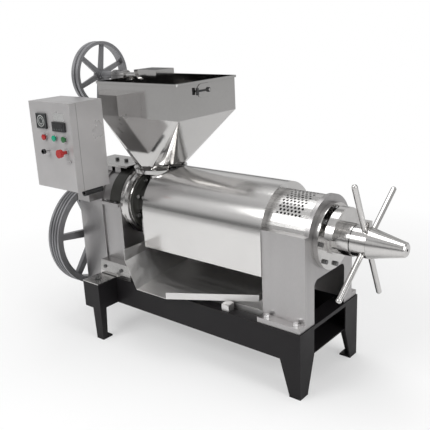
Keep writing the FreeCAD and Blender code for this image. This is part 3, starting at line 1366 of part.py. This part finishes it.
def make_everything():
    make_base_frame()
    make_base_pan()
    make_legs()
    make_block_plate()
    make_sills()
    make_housing()
    make_cap()
    make_cap_band()
    make_end_case()
    make_cover_plate()
    make_output_flange()
    make_feed_chamber()
    make_saddle()
    make_throat_bolts()
    make_cage()
    make_press_screw()
    make_barrel_cover()
    make_portal()
    make_guard()
    make_end_flange()
    make_adjuster()
    make_tray()
    make_oil_box()
    make_hopper()
    make_rim()
    make_feeder()
    make_auger()
    make_latch()
    make_pulleys()
    make_cabinet()
    make_door()
    make_controls()
    make_fasteners()


make_everything()
doc.recompute()

failed = [item.Label for item in doc.Objects if {"Invalid", "Error"} & set(item.State)]
if failed:
    raise RuntimeError(f"did not build: {failed}")
for name, item in NODES.items():
    if item.Shape.isNull() or not item.Shape.isValid() or not item.Shape.Solids:
        raise RuntimeError(f"{name} has no valid solid")

os.makedirs("parts", exist_ok=True)
for name, item in NODES.items():
    item.Shape.exportStep(os.path.join("parts", name + ".step"))
print(len(NODES), "sub-parts written")
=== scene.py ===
"""Looks of the screw oil press: materials, trim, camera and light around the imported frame."""
import math

import bpy
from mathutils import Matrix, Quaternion, Vector


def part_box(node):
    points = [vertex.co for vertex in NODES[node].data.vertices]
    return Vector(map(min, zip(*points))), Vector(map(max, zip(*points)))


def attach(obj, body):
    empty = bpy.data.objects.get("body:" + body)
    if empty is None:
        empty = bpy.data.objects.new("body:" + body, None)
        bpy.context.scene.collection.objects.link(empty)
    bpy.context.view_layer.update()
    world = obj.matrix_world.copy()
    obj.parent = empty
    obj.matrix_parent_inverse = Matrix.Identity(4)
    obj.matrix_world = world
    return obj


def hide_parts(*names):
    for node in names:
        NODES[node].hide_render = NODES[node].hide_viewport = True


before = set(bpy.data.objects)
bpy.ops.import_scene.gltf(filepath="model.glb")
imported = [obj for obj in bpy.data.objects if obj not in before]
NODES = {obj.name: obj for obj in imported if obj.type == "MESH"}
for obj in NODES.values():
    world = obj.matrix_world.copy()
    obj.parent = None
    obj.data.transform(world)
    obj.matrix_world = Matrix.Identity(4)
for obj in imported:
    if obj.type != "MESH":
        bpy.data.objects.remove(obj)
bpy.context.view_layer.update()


# ---------------------------------------------------------------- node-tree helpers

def set_inputs(node, values):
    for name, value in values.items():
        node.inputs[name].default_value = value


def emptied_tree(owner):
    """Turns on the nodes of a material or world and clears what Blender puts there."""
    owner.use_nodes = True
    owner.node_tree.nodes.clear()
    return owner.node_tree.nodes, owner.node_tree.links


class Tree:
    """Short calls for building one material's nodes."""

    def __init__(self, name):
        self.material = bpy.data.materials.new(name)
        self.material.use_nodes = True
        self.nodes = self.material.node_tree.nodes
        self.links = self.material.node_tree.links
        self.shader = self.nodes["Principled BSDF"]
        self.place = self.nodes.new("ShaderNodeTexCoord").outputs["Object"]

    def link(self, source, target):
        self.links.new(source, target)

    def stretched(self, scale):
        """Object coordinates scaled per axis, which draws a texture out along the small one."""
        mapping = self.nodes.new("ShaderNodeMapping")
        set_inputs(mapping, {"Scale": scale})
        self.link(self.place, mapping.inputs["Vector"])
        return mapping.outputs["Vector"]

    def noise(self, vector, scale, detail=3.0, roughness=0.55):
        node = self.nodes.new("ShaderNodeTexNoise")
        set_inputs(node, {"Scale": scale, "Detail": detail, "Roughness": roughness})
        self.link(vector, node.inputs["Vector"])
        return node.outputs["Fac"]

    def span(self, value, low, high, start=0.3, end=0.7):
        """Maps the middle of a noise onto a range of numbers."""
        node = self.nodes.new("ShaderNodeMapRange")
        set_inputs(node, {"From Min": start, "From Max": end, "To Min": low, "To Max": high})
        self.link(value, node.inputs["Value"])
        return node.outputs["Result"]

    def blend(self, factor, first, second):
        """Mixes two colours; each is a tuple or another node's output."""
        node = self.nodes.new("ShaderNodeMix")
        node.data_type = "RGBA"
        self.link(factor, node.inputs["Factor"])
        for socket, value in (("A", first), ("B", second)):
            target = [i for i in node.inputs if i.name == socket and i.type == "RGBA"][0]
            if isinstance(value, tuple):
                target.default_value = (*value, 1.0)
            else:
                self.link(value, target)
        return [o for o in node.outputs if o.type == "RGBA"][0]

    def bump(self, height, strength, distance):
        node = self.nodes.new("ShaderNodeBump")
        set_inputs(node, {"Strength": strength, "Distance": distance})
        self.link(height, node.inputs["Height"])
        self.link(node.outputs["Normal"], self.shader.inputs["Normal"])

    def painted_corner_shade(self, reach, amount):
        """Painted shade: darkens inside corners, out to the given reach."""
        node = self.nodes.new("ShaderNodeAmbientOcclusion")
        set_inputs(node, {"Distance": reach})
        node.samples = 8
        return self.span(node.outputs["AO"], amount, 0.0, start=0.35, end=0.9)

    def surface(self, face, roughness, fixed):
        """Feeds the shader its colour and roughness, and sets its constant inputs."""
        self.link(face, self.shader.inputs["Base Color"])
        self.link(roughness, self.shader.inputs["Roughness"])
        set_inputs(self.shader, fixed)


def tint(colour, factor):
    return tuple(channel * factor for channel in colour)


def brushed(name, colour, rough, grain):
    """Brushed sheet: fine grain drawn out along one axis, faint cloudy changes of gloss."""
    t = Tree(name)
    broad_grain = tuple(stretch * 0.25 for stretch in grain)
    fine = t.noise(t.stretched(grain), scale=60.0, detail=4.0, roughness=0.6)
    cloud = t.noise(t.place, scale=2.6)
    smear = t.noise(t.stretched(broad_grain), scale=9.0, detail=2.0)
    face = t.blend(t.span(fine, 0.0, 1.0), tint(colour, 0.93), tint(colour, 1.05))
    face = t.blend(t.span(cloud, 0.0, 0.35), face, tint(colour, 0.8))
    # Painted shade: the sheet gets darker towards inside corners.
    face = t.blend(t.painted_corner_shade(reach=0.02, amount=0.3), face, tint(colour, 0.4))
    t.surface(face, t.span(smear, rough * 0.85, rough * 1.2), {"Metallic": 1.0})
    t.bump(fine, strength=0.03, distance=0.0003)
    return t.material


def turned_metal(name, colour, rough):
    """Lathe-turned steel: fine rings along X with small changes of gloss."""
    t = Tree(name)
    rings = t.noise(t.stretched((1.0, 0.02, 0.02)), scale=900.0, detail=2.0)
    broad = t.noise(t.place, scale=14.0)
    face = t.blend(t.span(rings, 0.0, 1.0), tint(colour, 0.9), tint(colour, 1.06))
    # Painted shade: the steel gets darker towards inside corners.
    face = t.blend(t.painted_corner_shade(reach=0.012, amount=0.3), face, tint(colour, 0.4))
    t.surface(face, t.span(broad, rough * 0.8, rough * 1.3), {"Metallic": 1.0})
    t.bump(rings, strength=0.05, distance=0.0004)
    return t.material


def painted(name, colour, rough, metal=0.0, orange_peel=0.08, coat=0.15, gloss=0.5):
    """Painted or powder-coated steel with a faint orange-peel surface and rubbed spots."""
    t = Tree(name)
    peel = t.noise(t.place, scale=260.0)
    broad = t.noise(t.place, scale=5.0, detail=4.0)
    face = t.blend(t.span(broad, 0.0, 0.6), colour, tint(colour, 1.25))
    # Painted shade: the paint gets darker towards inside corners.
    face = t.blend(t.painted_corner_shade(reach=0.03, amount=0.4), face, tint(colour, 0.45))
    t.surface(face, t.span(broad, rough * 0.85, rough * 1.2),
              {"Metallic": metal, "Coat Weight": coat, "Coat Roughness": 0.25,
               "Specular IOR Level": gloss})
    t.bump(peel, strength=orange_peel, distance=0.0006)
    return t.material


def plastic(name, colour, rough=0.25):
    """Moulded plastic: slightly mottled colour with a soft gloss."""
    t = Tree(name)
    fine = t.noise(t.place, scale=700.0, detail=2.0)
    face = t.blend(t.span(fine, 0.0, 0.5), colour, tint(colour, 0.85))
    t.surface(face, t.span(fine, rough * 0.9, rough * 1.2), {"Coat Weight": 0.3})
    t.bump(fine, strength=0.04, distance=0.0002)
    return t.material


STAINLESS = (0.60, 0.59, 0.58)
GRAIN_X = (0.8, 14.0, 14.0)
GRAIN_Z = (14.0, 14.0, 0.8)
MATERIALS = {
    "cover_sheet": brushed("cover_sheet", (0.70, 0.69, 0.68), 0.17, (0.6, 14.0, 14.0)),
    "sheet_x": brushed("sheet_x", STAINLESS, 0.24, GRAIN_X),
    "sheet_z": brushed("sheet_z", (0.43, 0.42, 0.42), 0.34, GRAIN_Z),
    "hopper_sheet": brushed("hopper_sheet", (0.62, 0.61, 0.60), 0.09, (5.0, 5.0, 0.8)),
    "machined": turned_metal("machined", STAINLESS, 0.16),
    "cast": painted("cast_grey", (0.27, 0.27, 0.28), 0.38, metal=0.75),
    "black": painted("frame_black", (0.010, 0.009, 0.010), 0.45, orange_peel=0.1, coat=0.0,
                     gloss=0.22),
    "dark": painted("dark_band", (0.045, 0.045, 0.040), 0.4, metal=0.2),
    "cabinet": painted("cabinet_grey", (0.43, 0.42, 0.42), 0.3, metal=0.45, orange_peel=0.05),
    "fastener": turned_metal("fastener", (0.16, 0.16, 0.16), 0.32),
    "bright_fastener": turned_metal("bright_fastener", (0.62, 0.62, 0.62), 0.25),
    "bezel": turned_metal("bezel", (0.55, 0.55, 0.55), 0.25),
    "red": plastic("red_plastic", (0.36, 0.012, 0.012)),
    "teal": plastic("teal_plastic", (0.0, 0.30, 0.17)),
    "green": plastic("green_plastic", (0.012, 0.12, 0.03)),
    "black_plastic": plastic("black_plastic", (0.010, 0.010, 0.011), 0.4),
    "meter_rim": plastic("meter_rim", (0.05, 0.055, 0.055), 0.3),
    "dial": plastic("dial", (0.035, 0.04, 0.04), 0.3),
    "dial_mark": plastic("dial_mark", (0.42, 0.43, 0.42), 0.35),
    "screen": plastic("screen", (0.006, 0.006, 0.007), 0.08),
    "tray": brushed("tray", (0.74, 0.73, 0.72), 0.4, GRAIN_X),
    # Press cage and screw: dark steel as painted shade, so the view through the guard's holes
    # stays dark.
    "painted_shade_steel": turned_metal("painted_shade_steel", (0.10, 0.095, 0.09), 0.35),
    "guard": brushed("guard", (0.66, 0.65, 0.64), 0.26, GRAIN_X),
    "plate": brushed("plate", (0.8, 0.8, 0.79), 0.25, (1.2, 22.0, 22.0)),
}

DRESS = {
    "cover_sheet": ("barrel_cover",),
    "tray": ("oil_tray", "oil_box"),
    "painted_shade_steel": ("press_cage", "press_screw"),
    "sheet_x": ("gearbox_sills", "block_plate", "inspection_cover",
                "feeder_bracket", "perforated_guard"),
    "sheet_z": ("discharge_housing", "gearbox_housing", "end_gear_case", "feed_saddle",
                "cabinet_bracket", "gearbox_cap"),
    "hopper_sheet": ("hopper", "hopper_rim", "feeder_case", "latch_plate"),
    "machined": ("output_flange", "feed_chamber", "end_flange",
                 "screw_neck", "thrust_sleeve", "adjuster_hub", "nose_cone", "handle_bars",
                 "input_shaft", "feed_shaft", "feed_auger", "feeder_bearing"),
    "cast": ("drive_pulley", "feed_pulley"),
    "black": ("base_frame", "base_pan", "legs", "foot_plates"),
    "dark": ("cap_band", "feed_disc"),
    "cabinet": ("cabinet_body", "cabinet_door"),
    "fastener": ("block_stud", "housing_bolts", "throat_bolts", "end_flange_bolts"),
    "bright_fastener": ("portal_bolts", "feed_disc_bolts", "door_hinges", "door_lock"),
    "bezel": ("button_bezels", "selector_knob"),
    "red": ("button_red", "emergency_stop"),
    "teal": ("button_teal",),
    "green": ("button_green",),
    "black_plastic": ("cable_gland", "meter", "controller", "latch_arm"),
}


def dress_nodes():
    """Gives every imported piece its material."""
    for key, names in DRESS.items():
        for name in names:
            slots = NODES[name].material_slots
            if not slots:
                NODES[name].data.materials.append(MATERIALS[key])
            for slot in slots:
                slot.material = MATERIALS[key]


# ---------------------------------------------------------------- mesh helpers

def add_object(name, data):
    item = bpy.data.objects.new(name, data)
    bpy.context.scene.collection.objects.link(item)
    return item


def piece(name, vertices, faces, material, body, crease=None):
    """A mesh riding on a body; with a crease angle in degrees, flatter edges are smooth."""
    mesh = bpy.data.meshes.new(name)
    mesh.from_pydata([tuple(v) for v in vertices], [], faces)
    mesh.materials.append(MATERIALS[material])
    mesh.update()
    if crease:
        mesh.shade_smooth()
        mesh.set_sharp_from_angle(angle=math.radians(crease))
    item = add_object(name, mesh)
    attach(item, body)
    return item


def slab(name, lower, upper, material, body, bevel):
    """A plate between two corners with rounded edges."""
    (x0, y0, z0), (x1, y1, z1) = lower, upper
    corners = [(x, y, z) for x in (x0, x1) for y in (y0, y1) for z in (z0, z1)]
    faces = [(0, 1, 3, 2), (4, 6, 7, 5), (0, 4, 5, 1), (2, 3, 7, 6), (0, 2, 6, 4), (1, 5, 7, 3)]
    item = piece(name, corners, faces, material, body)
    edge = item.modifiers.new("edge", "BEVEL")
    edge.width = bevel
    edge.segments = 3
    edge.limit_method = "ANGLE"


def lathe(name, profile, centre, material, body, steps):
    """Revolves (along, radius) points about a line through centre towards the operator (-Y)."""
    along_way, side, up = Vector((0, -1, 0)), Vector((1, 0, 0)), Vector((0, 0, 1))
    vertices = []
    for along, radius in profile:
        for step in range(steps):
            angle = 2 * math.pi * step / steps
            out = side * math.cos(angle) + up * math.sin(angle)
            vertices.append(Vector(centre) + along_way * along + out * radius)
    faces = []
    for row in range(len(profile) - 1):
        near, far = row * steps, (row + 1) * steps
        for step in range(steps):
            beside = (step + 1) % steps
            faces.append((near + step, near + beside, far + beside, far + step))
    piece(name, vertices, faces, material, body, crease=35)


def front_centre(lower, upper):
    """The middle of a box's front, where its dial, lens or grip sits."""
    return ((lower.x + upper.x) / 2, lower.y, (lower.z + upper.z) / 2)


# ---------------------------------------------------------------- pieces that dress the solids

def make_guard():
    """Perforated half-round sheet: staggered rows of round holes, both long edges left bare."""
    gauge = 0.002
    pitch = 0.0185
    row_pitch = pitch * 0.87
    hole_radius = 0.0058
    bare_ends = 0.028
    bare_rows = 4
    ring_steps = 12

    lower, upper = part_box("perforated_guard")
    nose_low, nose_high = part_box("nose_cone")
    axis_z = (nose_low.z + nose_high.z) / 2
    radius = math.hypot(upper.y, lower.z - axis_z)
    first_angle = math.asin((lower.z - axis_z) / radius)
    span = math.pi - 2 * first_angle
    start, end = lower.x, upper.x
    columns = int((end - start - 2 * bare_ends) / pitch)
    rows = int(radius * span / row_pitch)
    cell_angle = span / rows
    edge = (end - start - columns * pitch) / 2
    turns = [2 * math.pi * step / ring_steps + math.pi / 4 for step in range(ring_steps)]
    vertices, faces = [], []

    def spot(x, angle, depth):
        reach = radius - depth
        return (x, reach * math.cos(angle), axis_z + reach * math.sin(angle))

    def plain_cell(x0, x1, a0, a1):
        """A square of the sheet without a hole: both skins."""
        base = len(vertices)
        for depth in (0.0, gauge):
            for x, angle in ((x0, a0), (x1, a0), (x1, a1), (x0, a1)):
                vertices.append(spot(x, angle, depth))
        faces.append((base, base + 3, base + 2, base + 1))
        faces.append((base + 4, base + 5, base + 6, base + 7))

    def holed_cell(x0, x1, a0, a1):
        """A square of the sheet round a hole: both skins and the hole's wall."""
        mid_x, mid_a = (x0 + x1) / 2, (a0 + a1) / 2
        half_x, half_a = (x1 - x0) / 2, (a1 - a0) / 2
        rim, hole, back_rim, back_hole = (len(vertices) + ring * ring_steps for ring in range(4))
        for depth in (0.0, gauge):
            for turn in turns:
                cosine, sine = math.cos(turn), math.sin(turn)
                stretch = 1 / max(abs(cosine), abs(sine))
                vertices.append(spot(mid_x + half_x * cosine * stretch,
                                     mid_a + half_a * sine * stretch, depth))
            for turn in turns:
                vertices.append(spot(mid_x + hole_radius * math.cos(turn),
                                     mid_a + hole_radius * math.sin(turn) / radius, depth))
        for step in range(ring_steps):
            beside = (step + 1) % ring_steps
            faces.append((rim + step, hole + step, hole + beside, rim + beside))
            faces.append((back_rim + beside, back_hole + beside, back_hole + step,
                          back_rim + step))
            faces.append((hole + step, back_hole + step, back_hole + beside, hole + beside))

    for row in range(rows):
        low = first_angle + cell_angle * row
        high = low + cell_angle
        staggered = row % 2
        begin = start + edge + staggered * pitch / 2 - pitch / 4
        count = columns - staggered
        cell = holed_cell if bare_rows <= row < rows - bare_rows else plain_cell
        plain_cell(start, begin, low, high)
        for column in range(count):
            x0 = begin + pitch * column
            cell(x0, x0 + pitch, low, high)
        plain_cell(begin + pitch * count, end, low, high)
    guard = piece("guard_sheet", vertices, faces, "guard", "frame", crease=30)
    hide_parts("perforated_guard")


def make_meter_face():
    """Square panel meter: raised rim, dark dial with pale scale rings and a centre boss."""
    rim_rise = 0.002
    steps = 48
    lower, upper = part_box("meter")
    centre = front_centre(lower, upper)
    half = (upper.x - lower.x) / 2
    rim = half * 0.12
    for name, x0, x1, z0, z1 in (
            ("meter_rim_top", lower.x, upper.x, upper.z - rim, upper.z),
            ("meter_rim_low", lower.x, upper.x, lower.z, lower.z + rim),
            ("meter_rim_left", lower.x, lower.x + rim, lower.z, upper.z),
            ("meter_rim_right", upper.x - rim, upper.x, lower.z, upper.z)):
        slab(name, (x0, lower.y - rim_rise, z0), (x1, lower.y, z1), "meter_rim", "door", 0.0006)
    # Each profile point is a rise above the meter's front and a share of its half width.
    dial = ((0.0, 0.8), (0.0015, 0.78), (0.0015, 0.6), (0.0005, 0.58), (0.0005, 0.34),
            (0.0025, 0.3), (0.0035, 0.12), (0.0035, 0.0))
    lathe("meter_dial", [(rise, half * share) for rise, share in dial], centre, "dial", "door",
          steps)
    ring_foot, ring_top = 0.001, 0.0022
    for name, inner, outer in (("meter_scale", 0.66, 0.76), ("meter_ring", 0.38, 0.46)):
        lathe(name, [(ring_foot, half * outer), (ring_top, half * outer),
                     (ring_top, half * inner), (ring_foot, half * inner)],
              centre, "dial_mark", "door", steps)


def make_controller_face():
    """Dark instrument face: window and a row of small keys."""
    window_rise, key_rise = 0.0012, 0.0018
    key_half = 0.005
    keys = 4
    bevel = 0.0005
    lower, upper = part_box("controller")
    wide, tall = upper.x - lower.x, upper.z - lower.z
    slab("controller_window",
         (lower.x + wide * 0.12, lower.y - window_rise, lower.z + tall * 0.45),
         (upper.x - wide * 0.12, lower.y, upper.z - tall * 0.14), "screen", "door", bevel)
    for number in range(keys):
        x = lower.x + wide * (0.2 + 0.2 * number)
        slab(f"controller_key_{number}",
             (x - key_half, lower.y - key_rise, lower.z + tall * 0.16),
             (x + key_half, lower.y, lower.z + tall * 0.3), "meter_rim", "door", bevel)


def make_button_heads():
    """Domed lenses on the push-buttons and a round grip on the selector."""
    steps = 32
    lens = [(-0.0026, 0.0), (-0.0026, 0.0138), (-0.0008, 0.0145), (0.0008, 0.0135),
            (0.0018, 0.010), (0.0022, 0.0)]
    grip = [(-0.014, 0.0), (-0.014, 0.0105), (-0.012, 0.0122), (-0.002, 0.0122),
            (0.0, 0.0105), (0.0, 0.0)]
    for colour in ("red", "teal", "green"):
        body = f"{colour}_button"
        centre = front_centre(*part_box(f"button_{colour}"))
        lathe(f"{body}_lens", lens, centre, colour, body, steps)
    lathe("selector_grip", grip, front_centre(*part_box("selector_knob")), "black_plastic",
          "selector", steps)


def make_small_bolts():
    """Bolts through the front gearbox sill."""
    head = [(0.0, 0.0095), (0.0015, 0.0095), (0.006, 0.0085), (0.0075, 0.005), (0.0078, 0.0)]
    sunk = 0.004
    height = 0.045
    steps = 24
    lower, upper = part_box("gearbox_sills")
    for number, share in enumerate((0.31, 0.85)):
        x = upper.x - (upper.x - lower.x) * share
        lathe(f"sill_bolt_{number}", head, (x, lower.y + sunk, lower.z + height), "fastener",
              "frame", steps)


def make_blank_plate():
    """Bare bright plate above the instrument, lying on the door."""
    wide, tall, gauge = 0.078, 0.040, 0.0015
    gap = 0.002
    lower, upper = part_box("controller")
    middle = (lower.x + upper.x) / 2
    door_face = upper.y
    base = upper.z + gap
    slab("panel_plate", (middle - wide / 2, door_face - gauge, base),
         (middle + wide / 2, door_face, base + tall), "plate", "door", 0.0006)


# ---------------------------------------------------------------- camera, floor and light

MACHINE_MIDDLE = (-0.6, 0.0, 0.7)
WHITE = (1, 1, 1, 1)


def make_camera():
    """Stands in front of the discharge end, to the operator's side, a little above the hopper."""
    azimuth, elevation, roll = math.radians(40.29), math.radians(17.33), math.radians(-2.77)
    back = Vector((math.sin(azimuth) * math.cos(elevation),
                   -math.cos(azimuth) * math.cos(elevation), math.sin(elevation)))
    data = bpy.data.cameras.new("camera")
    data.lens = 54.03
    data.sensor_width = 36.0
    data.clip_end = 60.0
    camera = add_object("camera", data)
    camera.location = (1.326, -2.283, 1.595)
    camera.rotation_mode = "QUATERNION"
    tilt = Quaternion((0.0, 0.0, 1.0), roll)
    camera.rotation_quaternion = (-back).to_track_quat("-Z", "Y") @ tilt
    bpy.context.scene.camera = camera


def make_floor():
    """Pale floor: it glows to the camera, fully so away from the machine, whose shadow stays."""
    reach = 60.0
    shadow_middle = (-0.5, 0.0, 0.0)
    shadow_reach, white_reach = 0.9, 2.6
    glow_near = 0.42
    mesh = bpy.data.meshes.new("floor")
    mesh.from_pydata([(-reach, -reach, 0), (reach, -reach, 0), (reach, reach, 0),
                      (-reach, reach, 0)], [], [(0, 1, 2, 3)])
    floor = add_object("floor", mesh)
    material = bpy.data.materials.new("floor")
    nodes, links = emptied_tree(material)
    place = nodes.new("ShaderNodeTexCoord")
    away = nodes.new("ShaderNodeVectorMath")
    away.operation = "DISTANCE"
    away.inputs[1].default_value = shadow_middle
    links.new(place.outputs["Object"], away.inputs[0])
    fade = nodes.new("ShaderNodeMapRange")
    set_inputs(fade, {"From Min": shadow_reach, "From Max": white_reach,
                      "To Min": glow_near, "To Max": 1.0})
    links.new(away.outputs["Value"], fade.inputs["Value"])
    ray = nodes.new("ShaderNodeLightPath")
    share = nodes.new("ShaderNodeMath")
    share.operation = "MULTIPLY"
    links.new(ray.outputs["Is Camera Ray"], share.inputs[0])
    links.new(fade.outputs["Result"], share.inputs[1])
    matt = nodes.new("ShaderNodeBsdfDiffuse")
    set_inputs(matt, {"Color": (0.86, 0.86, 0.86, 1)})
    glow = nodes.new("ShaderNodeEmission")
    set_inputs(glow, {"Color": WHITE, "Strength": 1.0})
    mix = nodes.new("ShaderNodeMixShader")
    out = nodes.new("ShaderNodeOutputMaterial")
    links.new(share.outputs[0], mix.inputs[0])
    links.new(matt.outputs[0], mix.inputs[1])
    links.new(glow.outputs[0], mix.inputs[2])
    links.new(mix.outputs[0], out.inputs["Surface"])
    mesh.materials.append(material)


def make_world():
    """Studio surround: white to the camera, banded greys to the metal that mirrors it."""
    # Each stop is a height, from 0 straight down over 0.5 level to 1 straight up, and a grey.
    stops = ((0.0, 0.45), (0.47, 0.2), (0.53, 0.16), (0.62, 0.75), (0.74, 0.95), (0.82, 0.35),
             (0.9, 0.9), (1.0, 0.6))
    world = bpy.data.worlds.new("studio")
    bpy.context.scene.world = world
    nodes, links = emptied_tree(world)
    place = nodes.new("ShaderNodeTexCoord")
    parts = nodes.new("ShaderNodeSeparateXYZ")
    links.new(place.outputs["Generated"], parts.inputs[0])
    height = nodes.new("ShaderNodeMapRange")
    set_inputs(height, {"From Min": -1.0, "From Max": 1.0})
    links.new(parts.outputs["Z"], height.inputs["Value"])
    ramp = nodes.new("ShaderNodeValToRGB")
    elements = ramp.color_ramp.elements
    while len(elements) < len(stops):
        elements.new(0.5)
    for element, (position, value) in zip(elements, stops):
        element.position = position
        element.color = (value, value, value, 1)
    links.new(height.outputs["Result"], ramp.inputs["Fac"])
    around = nodes.new("ShaderNodeBackground")
    set_inputs(around, {"Strength": 0.8})
    links.new(ramp.outputs["Color"], around.inputs["Color"])
    white = nodes.new("ShaderNodeBackground")
    set_inputs(white, {"Color": WHITE})
    ray = nodes.new("ShaderNodeLightPath")
    mix = nodes.new("ShaderNodeMixShader")
    out = nodes.new("ShaderNodeOutputWorld")
    links.new(ray.outputs["Is Camera Ray"], mix.inputs[0])
    links.new(around.outputs[0], mix.inputs[1])
    links.new(white.outputs[0], mix.inputs[2])
    links.new(mix.outputs[0], out.inputs["Surface"])


def lamp(name, place, width, height, power):
    """An area light aimed at the middle of the machine."""
    data = bpy.data.lights.new(name, "AREA")
    data.shape = "RECTANGLE"
    data.size, data.size_y = width, height
    data.energy = power
    item = add_object(name, data)
    item.location = place
    item.rotation_mode = "QUATERNION"
    towards = Vector(MACHINE_MIDDLE) - Vector(place)
    item.rotation_quaternion = towards.to_track_quat("-Z", "Y")


def make_lights():
    lamp("key", (-1.6, -3.4, 3.4), width=2.2, height=1.4, power=80.0)
    lamp("top", (-0.5, 0.2, 4.2), width=3.5, height=1.6, power=58.0)
    lamp("right", (3.6, -0.6, 1.8), width=1.2, height=2.4, power=48.0)


bpy.context.scene.view_settings.view_transform = "Standard"

dress_nodes()
make_guard()
make_meter_face()
make_controller_face()
make_button_heads()
make_small_bolts()
make_blank_plate()
make_camera()
make_floor()
make_world()
make_lights()
